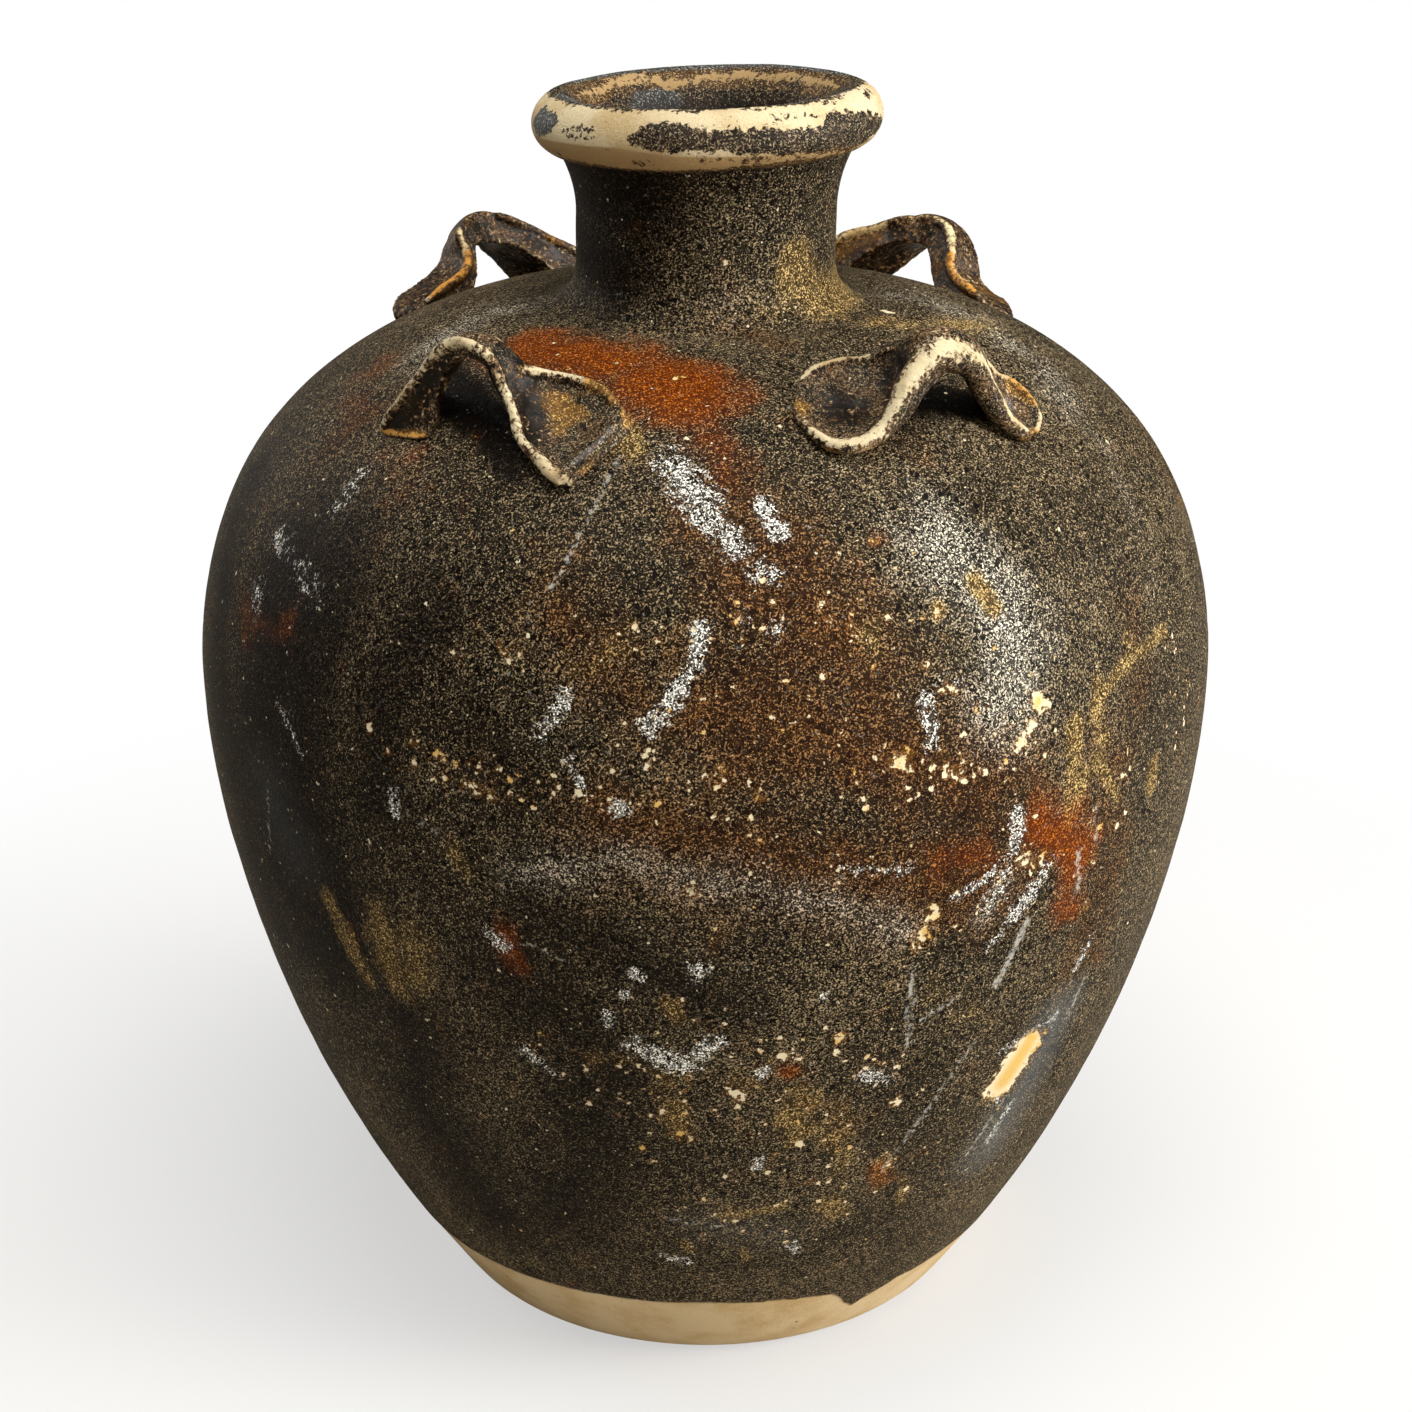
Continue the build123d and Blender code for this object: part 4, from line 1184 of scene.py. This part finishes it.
# Web station: front edge, rear edge, thickness at the front, middle and rear, bulge (a dish is negative), and how far
# the station is seated in the shoulder. Roll point and brush point: along, down, above, radius
lugPlans = {
    "frontLeftLug": dict(
        node="front_left_lug", azimuth=-33.5, smooth=0.12, wear=0.92,
        webs=[
            [((-24, 12.5, 1), (-26, 2, 0.5), 2, 3, 2, 0.5, 1), ((-22.5, 11, 3), (-24.5, 0, 3), 4, 4.5, 3, 0.6, 0.8),
            ((-19.5, 8.5, 6), (-20.5, -2.5, 6), 6, 6, 4, 0.8, 0.3),
            ((-15.5, 4.5, 10), (-16, -4.5, 10), 5.5, 6, 4, 0.8, 0),
            ((-12, 1, 14), (-12, -6.5, 13), 4, 5, 3.5, 0.8, 0), ((-7, -2, 17), (-7, -8, 14.5), 3.2, 4.5, 3, 0.8, 0),
            ((-2.5, -2, 16.5), (-2, -8, 14), 3, 4.5, 3, 1, 0), ((1, -2, 14), (2, -8, 11.5), 3, 4, 3, 0.8, 0),
            ((3.5, 0, 10), (4.5, -8, 8.5), 3, 4, 3, 0, 0), ((7.5, 4, 6.5), (7.5, -9, 6), 3, 3.5, 3, -2, 0.4),
            ((11, 9, 4.5), (13, -10, 4.5), 3, 3, 3, -2.6, 0.9), ((16, 13, 3.5), (19, -9, 4), 3, 3, 3, -3, 1),
            ((18.5, 15, 3), (24, -6, 3.5), 3, 3, 3, -2.6, 1), ((20.5, 16, 3), (28, -3, 2.5), 3, 3, 3, -0.3, 1),
            ((22, 16.5, 0), (31.5, -1.5, 0), 2, 2, 2, 0, 1)], [((-22, 12.5, 0.3), (-24, 12.5, 1), 3, 3, 3, 0, 0),
            ((-17, 11.5, 0.3), (-19.5, 8.5, 6), 3.5, 3.5, 3.5, 0, 0),
            ((-12.5, 9.5, 0.5), (-15.5, 4.5, 10), 4, 4, 4, 0, 0), ((-11.5, 4.5, 6), (-13, 2, 13), 4, 4, 4, 0, 0),
            ((-10.5, 2.5, 10.5), (-10.5, 0, 15), 3.5, 3.5, 3.5, 0, 0),
            ((-8.5, 0, 13), (-8, -1.5, 16), 3, 3, 3, 0, 0)],
        ],
        rolls=[
            [(-24, 12.5, 1, 1), (-22.5, 11, 3, 1.2), (-19.5, 8.5, 6, 1.2), (-15.5, 4.5, 10, 1.3), (-12, 1, 14, 1.3),
            (-7, -2, 17, 1.3), (-2.5, -2, 16.5, 1.3), (1, -2, 14, 1.3), (3.5, 0, 10, 1.2), (7.5, 4, 6.5, 1.2),
            (11, 9, 4.5, 1.2), (16, 13, 3.5, 1.3), (18.5, 15, 3, 1.4), (21, 16.5, 2, 1.3)], [(3.5, -5, 9.5, 1),
            (5, -7, 7.5, 1.1), (8, -9, 5.5, 1.1), (13.5, -9.5, 4.5, 1.2), (19.5, -9, 4, 1.2), (24.5, -6, 3.5, 1.1),
            (28, -3, 2.5, 0.9), (30, -0.5, 0.5, 0.6)], [(20.5, 16, 3, 1.4), (22.5, 12.5, 3, 1.3), (25, 9, 3, 1.3),
            (27, 5, 3, 1.2), (27.5, 1, 2.5, 1.2), (27.5, -2, 2.5, 1.1)], [(-23.5, 12.5, 0.5, 0.7),
            (-19.5, 12, 0.5, 0.7), (-14, 11, 0.5, 0.7), (-12, 9.5, 0.5, 0.7)],
        ],
        cream=[
            [(-23.5, 12, 2, 0.8), (-19.5, 8.5, 6.5, 0.9), (-15.5, 4.5, 10.5, 1.1), (-12, 1, 14.5, 1.3),
            (-7, -2, 17.5, 1.5), (-2.5, -2, 17, 1.4), (1, -2, 14.5, 1.1), (3.5, 0, 10.5, 0.9), (7.5, 4, 7, 0.9),
            (11, 9, 5, 0.9), (16, 13, 4, 1.1), (18.5, 15, 3.5, 1.7), (21.5, 16.5, 2, 1.8)], [(4, -5.5, 9, 0.7),
            (6, -7.5, 7.5, 0.8), (10, -9.5, 6, 0.8), (15, -9.5, 5.5, 0.7), (19, -9, 5, 0.5)], [(-23, 12.5, 1, 0.7),
            (-18, 12, 1, 0.7), (-13, 10.5, 1, 0.6)], [(-24.5, 6, 3, 0.7), (-21, 0, 6.5, 0.6), (-16.5, -4, 10.5, 0.5)],
            [(-6, -7.5, 15.5, 0.6), (-1, -7.5, 14.5, 0.6)],
        ],
        ochre=[
            [(13, -4, 3, 5), (16, -1.5, 2.5, 5)], [(-17, 5, 6, 3)], [(19, -9, 5, 1.5), (25, -6, 4, 1.5),
            (29.5, -1, 1.5, 1.3)], [(-23, 12.5, 1, 1.5), (-13, 10.5, 1, 1.2)], [(24, 15, 1, 2), (26, 11, 1, 1.8)],
        ],
        glossAndShade=[
            [(-10, 0, 4, 6), (-2, -4, 7, 7), (3, -4, 4, 5)], [(8, -2, 5, 3), (12, 6, 3, 3)], [(-22, 12, 2.5, 2),
            (-16, 8.5, 5, 2.4), (-12.5, 4, 9, 2.4), (-10, 1, 12, 2)],
        ],
        paintedSheen=[[(23, 13, 4.5, 1.2), (25.5, 8, 4.5, 1.2), (27.5, 3, 4, 1.1)], [(5, -1, 9, 1.2), (6.5, 0, 7, 1.2)]],
    ),
    "frontRightLug": dict(
        node="front_right_lug", azimuth=36, smooth=0, wear=0.95,
        webs=[
            [((-29.5, -1.5, 1.5), (-29.5, -5.5, 1.5), 2, 2, 2, 0, 1),
            ((-28, 2.5, 2.5), (-27.5, -10.5, 2), 3, 3, 3, -1.2, 1),
            ((-25, 7, 3), (-24.5, -14, 2.5), 3, 3, 3, -2.4, 1),
            ((-20.5, 8, 4), (-19.5, -16, 3.5), 3.5, 3.5, 3, -3, 1),
            ((-16.5, 7, 5), (-12.5, -16.5, 4), 4, 4, 3, -3.5, 0.8),
            ((-13.5, 5, 7.5), (-7, -14, 6), 4.5, 4.5, 3.5, -3.5, 0.2),
            ((-11, 2.5, 10.5), (-4.5, -12, 9), 5, 5, 4, -2.5, 0),
            ((-8, 1, 13.5), (-3.5, -10, 12), 5.5, 5.5, 4.5, 0, 0),
            ((-4, 1, 15.5), (-1.5, -8, 16), 5.5, 6, 4.5, 1.5, 0),
            ((2.5, 0.5, 16), (3.5, -7, 17), 5.5, 6, 4.5, 1.5, 0),
            ((7.5, 1, 14.5), (9, -5.5, 16), 5, 5.5, 4.5, 1.4, 0), ((11, 3, 10.5), (14, -4, 12.5), 4.5, 5, 4, 0.8, 0),
            ((13, 6.5, 7), (18, -2.5, 8), 4, 4, 3.5, -0.6, 0.1),
            ((14.5, 10, 5), (21.5, 0, 6), 3.5, 3.5, 3, -1.5, 0.6), ((16, 12, 4), (24, 3.5, 4.5), 3, 3, 3, -1.8, 1),
            ((18, 14, 3), (24.5, 8.5, 3.5), 3, 3, 3, -1.2, 1), ((19.5, 14, 2), (24, 12, 2.5), 2, 2, 2, -0.3, 1)],
        ],
        rolls=[
            [(-29, 0, 1, 0.8), (-28, 2.5, 1.5, 1.3), (-25, 7, 2, 1.5), (-20.5, 8, 2.5, 1.7), (-15, 6, 4, 2),
            (-11.5, 3.5, 7.5, 2.3), (-8, 0.5, 11, 2.8), (-3, -1.5, 13.5, 3.2), (2.5, -1, 14, 3.3),
            (7.5, 0.5, 12, 3.1), (10.5, 3, 8, 2.8), (12.5, 6.5, 5, 2.4), (14.5, 10, 3, 2), (16.5, 13, 2, 1.7),
            (18.5, 14, 1.5, 1.3)], [(17.5, -3, 8.5, 0.9), (20, 0, 6, 0.9), (23.5, 2, 5, 0.9), (24.5, 5, 4.5, 0.9),
            (24.5, 9, 3.5, 0.9), (23, 12.5, 2.5, 0.9), (20, 14, 2, 0.9)], [(-3.5, -11, 9.5, 1), (-7, -14, 5.5, 1),
            (-12.5, -16.5, 4, 0.9), (-19.5, -16, 3.5, 0.9), (-25, -14, 2, 0.8), (-28, -9, 1, 0.7),
            (-29.5, -2, 1, 0.7), (-28.5, 2, 2, 0.7)],
        ],
        cream=[
            [(-28, 2.5, 2.5, 1.3), (-25, 7, 3.5, 1.4), (-20.5, 8, 4.5, 1.4), (-16, 6.5, 6, 1.5),
            (-13.5, 4.5, 8.5, 1.6), (-11, 2.5, 11.5, 2), (-7, 0.5, 15.5, 2.5), (-4, -0.5, 17.5, 2.7),
            (2.5, -0.5, 17.5, 2.5), (7.5, 1, 15.5, 1.8), (11.5, 3.5, 10.5, 0.8), (13.5, 7, 7, 0.6),
            (14.5, 10.5, 5, 0.6), (17, 13.5, 3.5, 0.8)], [(-6, -8.5, 12, 0.5), (-4.5, -6.5, 16, 0.5),
            (-0.5, -5, 18.5, 0.5), (3.5, -4.5, 18.5, 0.5)], [(17.5, -3, 9.5, 0.8), (20, 0, 7, 0.9), (23.5, 2, 6, 0.9),
            (25, 5, 5, 0.9), (25, 9, 4.5, 0.8), (23, 12.5, 3.5, 0.7), (20, 14, 3, 0.7)], [(-7, -14, 6.5, 0.6),
            (-12.5, -16.5, 5, 0.6), (-19.5, -16, 4.5, 0.6), (-25, -14, 3, 0.6)],
        ],
        ochre=[
            [(-13, 7.5, 1, 1.5)], [(-28, -6, 2, 3)], [(17, 14, 1, 2), (21, 14.5, 1, 2)], [(23, 2, 5, 1.5),
            (25, 9, 4, 1.5)], [(-26, 7, 1, 1.5), (-18, 8.5, 1.5, 1.5)],
        ],
        glossAndShade=[[(-8, 0, 5, 4), (0, -4, 7, 7), (7, -2, 5, 5)], [(-18, -4, 1, 5)]],
        paintedSheen=[[(-9.5, 6.5, 1.5, 1.2)], [(19, 6, 3, 2)]],
    ),
    "rearRightLug": dict(
        node="rear_right_lug", azimuth=133, smooth=0.5, wear=0.84,
        webs=[
            [((-30, 4, 0.5), (-26, -2.5, 0.5), 2, 2, 2, 0, 1), ((-25, 5, 2.5), (-22.5, -4, 1.5), 3, 3, 3, 0.3, 1),
            ((-20, 6, 4), (-18.5, -5, 2.5), 4, 4, 4, -0.4, 1), ((-15, 6, 5), (-13, -5, 4), 5, 6, 7, -0.8, 0.9),
            ((-10.5, 5.5, 7), (-9.5, -5, 7), 5.5, 7, 8, -0.8, 0.3),
            ((-8.5, 5, 10), (-8.5, -5, 10.5), 5.5, 7, 8, -0.6, 0),
            ((-6, 4.5, 13.5), (-5.5, -4.5, 14.5), 6, 7.5, 8.3, -0.3, 0),
            ((-2.5, 3.5, 17), (-2, -4, 17), 7, 8, 8.5, 0.3, 0), ((2, 3, 19), (1.5, -4, 18), 7, 8, 8.5, 0.6, 0),
            ((7, 3, 19), (5.5, -4.5, 18), 7, 7.5, 8, 0.6, 0), ((11.5, 4, 17), (10, -5.5, 16), 6.5, 7, 7, 0.3, 0),
            ((14.5, 5, 13.5), (14, -6, 14), 6, 6, 6, 0, 0), ((16.5, 6, 10), (18, -6, 12.5), 5.5, 5.5, 6.5, -0.3, 0),
            ((20, 7, 6.5), (22.5, -6, 11), 4.5, 5, 7, -0.6, 0.4), ((25, 7, 4), (27, -6, 9), 4, 5, 7, -0.6, 1),
            ((30, 5, 2), (31, -5, 5.5), 3, 3, 4, 0, 1), ((33, 2, 0.5), (34, -3, 2), 2, 2, 2, 0, 1)],
        ],
        rolls=[
            [(1.5, -4, 17, 0.8), (-2, -4, 16, 1.2), (-5.5, -4.5, 13.5, 1.4), (-8, -5, 10, 1.4), (-9, -5, 7, 1.4),
            (-12.5, -5, 4, 1.4), (-18.5, -5, 2.5, 1.3), (-22.5, -4, 1.5, 1.1), (-25.5, -2.5, 0.5, 0.8)],
            [(8, -5, 16.5, 0.9), (12.5, -6, 14.5, 1.1), (18, -6, 12, 1.2), (23, -6, 10.5, 1.3), (28, -6, 8, 1.3),
            (32, -5, 4.5, 1.1)],
        ],
        cream=[
            [(2, -4, 18.5, 0.7), (-2, -4.5, 17.5, 1.1), (-5.5, -5, 15, 1.2), (-8.5, -5.5, 10.5, 1),
            (-9.5, -5.5, 7, 0.9), (-13, -5.5, 4.5, 1), (-18.5, -5.5, 3, 1), (-22, -5, 2.5, 0.8)],
            [(14, -6.5, 13.5, 0.9), (19, -7, 11.5, 1.3), (24, -7, 10, 1.4), (29, -6.5, 7.5, 1.1)], [(4, 3, 20, 0.5),
            (10, 3.5, 18.5, 0.5)],
        ],
        ochre=[
            [(-9, -6, 9, 1.2), (-9.5, -6, 6, 1.8), (-13, -6, 3.5, 2), (-22, -5, 2, 1.8)], [(-5, -6, 4, 3),
            (-2, -6, 3, 2)], [(15, -7, 9, 2.6), (28, -7, 5, 2.6)], [(-15, 4, 6, 3), (-22, 4, 4, 2.4)],
        ],
        glossAndShade=[[(0, -2, 6, 6), (8, 0, 9, 6), (14, 0, 5, 6)], [(10, -6, 10, 4), (20, -7, 4, 2.5)]],
        paintedSheen=[[(-9.5, -1, 12, 1.5), (-11, -1.5, 9, 1.5)]],
    ),
    "rearLeftLug": dict(
        node="rear_left_lug", azimuth=-135.5, smooth=0.5, wear=0.84,
        webs=[
            [((-31, 3, 0.5), (-31, -3, 1.5), 2, 2, 2, 0, 1), ((-27, 5, 1.5), (-28, -4, 3.5), 3, 3, 4, 0, 1),
            ((-22, 7, 3), (-24, -5.5, 6), 4, 4, 5, -0.4, 1), ((-17, 8, 4.5), (-19.5, -6, 8.5), 6, 6, 6, -0.6, 0.9),
            ((-13.5, 7, 7.5), (-15, -6, 11), 6.5, 6.5, 6.5, -0.4, 0.3),
            ((-11.5, 5.5, 11.5), (-11.5, -6, 13), 6.5, 6.5, 7, 0, 0),
            ((-9, 4.5, 15.5), (-7.5, -5, 16), 7, 7, 8, 0.3, 0),
            ((-5.5, 3.5, 18.5), (-3.5, -4.5, 18.5), 7, 7, 8.5, 0.6, 0),
            ((-1, 3, 19.5), (1, -3.5, 19), 7, 7, 8.5, 0.6, 0), ((3.5, 3.5, 17.5), (6, -4, 17.5), 6.5, 6.5, 7, 0, 0),
            ((7, 4, 14), (9.5, -4, 14), 5.5, 5.5, 5.5, -0.6, 0),
            ((10, 5, 10.5), (9.5, -4.5, 10.5), 5, 5, 4.6, -0.8, 0),
            ((14, 5.5, 8.5), (10, -5, 7.5), 4.5, 4.5, 4.4, -0.8, 0.2),
            ((19.5, 6, 7), (12.5, -5, 5), 4, 4.5, 4.5, -0.6, 0.9), ((26.5, 6, 5.5), (17, -5.5, 3.5), 4, 4, 3, 0, 1),
            ((32, 5, 3.5), (25, -5, 2), 3, 3, 2, 0.3, 1), ((35, 4, 1.5), (31, -3, 0.5), 2, 2, 2, 0, 1)],
        ],
        rolls=[
            [(6.5, -4, 16.5, 0.9), (9.5, -4, 13.5, 1.2), (9, -4.5, 10, 1.3), (9.5, -5, 7.5, 1.3), (12.5, -5, 5, 1.4),
            (17, -5.5, 3.5, 1.3), (25, -5, 2, 1.2), (30.5, -3.5, 0.5, 0.8)], [(-4, -5, 17.5, 0.9), (-8, -5.5, 15, 1),
            (-15, -6, 10.5, 1.1), (-20, -6, 7.5, 1.2), (-25, -5.5, 5, 1.2)],
        ],
        cream=[
            [(8.5, -4.5, 15.5, 0.8), (9.5, -5, 11, 0.9), (10, -5.5, 8, 0.9), (12.5, -5.5, 5.5, 0.9),
            (17, -6, 4.5, 0.8), (25, -5.5, 3, 0.8), (29.5, -4, 1.5, 0.8)], [(5, -3.5, 19, 0.6), (1, -3, 20, 0.7),
            (-2, -1, 20.5, 0.5)],
        ],
        ochre=[
            [(9.5, -5.5, 9, 1.2), (10.5, -6, 6, 2.4), (16, -6, 4, 2), (28, -4.5, 2, 1.8)], [(7, -6, 5, 2.2)],
            [(-16, -7, 9.5, 1.2), (-21, -7, 7.5, 1.3)], [(-12, -7, 8, 1.2)],
        ],
        glossAndShade=[[(-2, -2, 6, 6), (-8, 0, 9, 6), (-14, -2, 5, 6)], [(-10, -6, 10, 4), (-18, -7, 5, 3)]],
        paintedSheen=[[(11, 1, 13, 1.3), (13, 1, 10, 1.2)]],
    ),
}


def shoulderPoint(azimuth, places):
    # Places are rows of millimetres along the shoulder, down its slope and above it, measured on its arc
    ring, radius, (centreRadius, centreHeight) = shoulder.values()
    along, down, lift = (places[..., k] * mm for k in range(3))
    tilt = np.arcsin((ring - centreRadius) / radius) + down / radius
    turn = math.radians(azimuth) + along / ring
    reach = centreRadius + (radius + lift) * np.sin(tilt)
    height = centreHeight + (radius + lift) * np.cos(tilt)
    return np.stack([reach * np.sin(turn), -reach * np.cos(turn), height], axis=-1)


def smoothRows(rows, count):
    # A smooth curve through the rows, spaced by the distance between them
    rows = np.array(rows, float)
    places = rows[:, :6] if rows.shape[1] > 6 else rows[:, :3]
    steps = np.linalg.norm(np.diff(places, axis=0), axis=1)
    knots = np.concatenate([[0], np.cumsum(steps)])
    slopes = np.gradient(rows, knots, axis=0)
    at = np.linspace(0, knots[-1], count)
    k = np.clip(np.searchsorted(knots, at, side="right") - 1, 0, len(knots) - 2)
    span = (knots[k + 1] - knots[k])[:, None]
    t = (at - knots[k])[:, None] / span
    return ((2 * t**3 - 3 * t**2 + 1) * rows[k] + (t**3 - 2 * t**2 + t) * span * slopes[k]
            + (3 * t**2 - 2 * t**3) * rows[k + 1] + (t**3 - t**2) * span * slopes[k + 1])


def closedTube(rings):
    # Points and faces of a tube whose rings are the rows of an array, closed at both ends
    count, around = rings.shape[:2]
    corner = np.arange(count * around).reshape(count, around)
    beside = np.roll(corner, -1, axis=1)
    faces = np.stack([corner[:-1], beside[:-1], beside[1:], corner[1:]], axis=-1).reshape(-1, 4)
    return rings.reshape(-1, 3), [*faces.tolist(), corner[0, ::-1].tolist(), corner[-1].tolist()]


def unit(vectors):
    return vectors / np.linalg.norm(vectors, axis=-1, keepdims=True)


def bandMesh(azimuth, stations):
    rows = smoothRows([[*front, *rear, *rest] for front, rear, *rest in stations], lugMesh["stationSteps"])
    u = np.linspace(0, 1, lugMesh["bandSteps"])[None, :, None]
    places = rows[:, None, :3] * (1 - u) + rows[:, None, 3:6] * u
    top = shoulderPoint(azimuth, places)
    across = top[:, -1] - top[:, 0]
    forward = np.gradient(top[:, len(u[0]) // 2], axis=0)
    up = unit(np.cross(forward, across))[:, None, :]
    thickFront, thickMiddle, thickRear, bulge, seat = (rows[:, k, None, None] for k in range(6, 11))
    thick = thickFront * (1 - u) * (1 - 2 * u) + 4 * thickMiddle * u * (1 - u) + thickRear * u * (2 * u - 1)
    top = top + up * bulge * 4 * u * (1 - u) * mm
    sunk = places.copy()
    sunk[..., 2] = -lugMesh["burial"]
    seat = np.clip(seat, 0, 1)
    bottom = (top - up * thick * mm) * (1 - seat) + shoulderPoint(azimuth, sunk) * seat
    return closedTube(np.concatenate([top, bottom[:, ::-1]], axis=1))


def rollMesh(azimuth, points):
    rows = smoothRows(points, lugMesh["rollSteps"] * len(points))
    line = shoulderPoint(azimuth, rows[:, :3])
    forward = unit(np.gradient(line, axis=0))
    side = unit(np.cross(forward, (0.3, 0.2, 1.0)))
    over = np.cross(forward, side)
    angles = np.linspace(0, 2 * math.pi, lugMesh["rollSides"], endpoint=False)[None, :, None]
    radius = np.clip(rows[:, 3], lugMesh["finest"], None)[:, None, None] * mm
    return closedTube(line[:, None] + (side[:, None] * np.cos(angles) + over[:, None] * np.sin(angles)) * radius)


def relaxed(points, edges, rounds):
    # Each round moves every point halfway to the mean of its neighbours
    count = np.maximum(np.bincount(edges.ravel(), minlength=len(points)), 1)[:, None]
    near, far = edges.T
    for _ in range(rounds):
        total = [np.bincount(near, points[far, k], len(points)) + np.bincount(far, points[near, k], len(points))
                 for k in range(3)]
        points = 0.5 * points + 0.5 * (np.stack(total, axis=1) / count)
    return points


def brushField(points, azimuth, strokes):
    # 0.5 where a brush of the given radius ends, 1 in its middle
    field, steps = np.zeros(len(points)), lugMesh["brushSteps"]
    for stroke in strokes:
        rows = smoothRows(stroke, steps * len(stroke)) if len(stroke) > 1 else np.array(stroke * 2, float)
        line = shoulderPoint(azimuth, rows[:, :3])
        for start, end, first, last in zip(line, line[1:], rows[:, 3], rows[1:, 3]):
            run = end - start
            share = np.clip((points - start) @ run / max(run @ run, 1e-12), 0, 1)
            gap = np.linalg.norm(points - start - share[:, None] * run, axis=1)
            width = np.maximum(first + (last - first) * share, lugMesh["finest"]) * mm
            field = np.maximum(field, 1 - 0.5 * gap / width)
    return field


def makeLug(name, plan):
    azimuth = plan["azimuth"]
    points, faces = np.zeros((0, 3)), []
    webs, rolls = plan["webs"], plan["rolls"]
    for corners, sides in [bandMesh(azimuth, web) for web in webs] + [rollMesh(azimuth, roll) for roll in rolls]:
        faces += [[len(points) + corner for corner in side] for side in sides]
        points = np.concatenate([points, corners])
    rough = bpy.data.meshes.new(name + "Parts")
    rough.from_pydata(points.tolist(), [], faces)
    blank = addObject(name + "Parts", rough)
    joined = blank.modifiers.new("join", "REMESH")
    joined.mode = "VOXEL"
    joined.voxel_size = lugMesh["voxel"]
    mesh = plainMesh(blank, name)
    edges = np.zeros(len(mesh.edges) * 2, np.int32)
    mesh.edges.foreach_get("vertices", edges)
    edges = edges.reshape(-1, 2)
    points = relaxed(readPoints(mesh), edges, lugMesh["softening"])
    writePoints(mesh, points)
    turnOutward(mesh)
    mesh.update()
    normals = np.zeros(len(points) * 3, np.float32)
    mesh.vertex_normals.foreach_get("vector", normals)
    normals = normals.reshape(-1, 3).astype(float)
    ridge = np.sum((points - relaxed(points, edges, lugMesh["ridgeReach"])) * normals, axis=1) / mm
    relief = sum(depth * np.array([noise.noise(Vector(p) * scale) for p in points])
                 for depth, scale in (lugMesh["lumps"], lugMesh["grit"]))
    writePoints(mesh, points + normals * relief[:, None])
    # The third kind of brush paints shade under each strap's arch and on its inner faces; the fourth paints sheen on
    # ridges and rolled edges
    cream, ochre, glossAndShade, paintedSheen = (brushField(points, azimuth, plan[brush])
                                  for brush in ("cream", "ochre", "glossAndShade", "paintedSheen"))
    # Ridges wear through to clay, and hollows get painted shade
    worn, hollow = (np.clip(flat + ridge * more, 0, most) for flat, more, most in
                    (lugMesh["ridgeWear"], lugMesh["hollowGlossAndShade"]))
    cream = np.maximum(cream * plan["wear"], worn)
    writeColours(mesh, "worn", [cream, ochre, np.maximum(np.maximum(glossAndShade, plan["smooth"]), hollow), paintedSheen])
    mesh.shade_smooth()
    mesh.materials.clear()
    mesh.materials.append(rearLugGlaze if plan["node"].startswith("rear") else lugGlaze)
    mesh.update()
    return addObject(name, mesh)


for name, plan in lugPlans.items():
    lug = makeLug(name, plan)
    dress(lug, plan["node"])
    print(name, "made,", len(lug.data.polygons), "faces")

scene.view_settings.view_transform = "Standard"
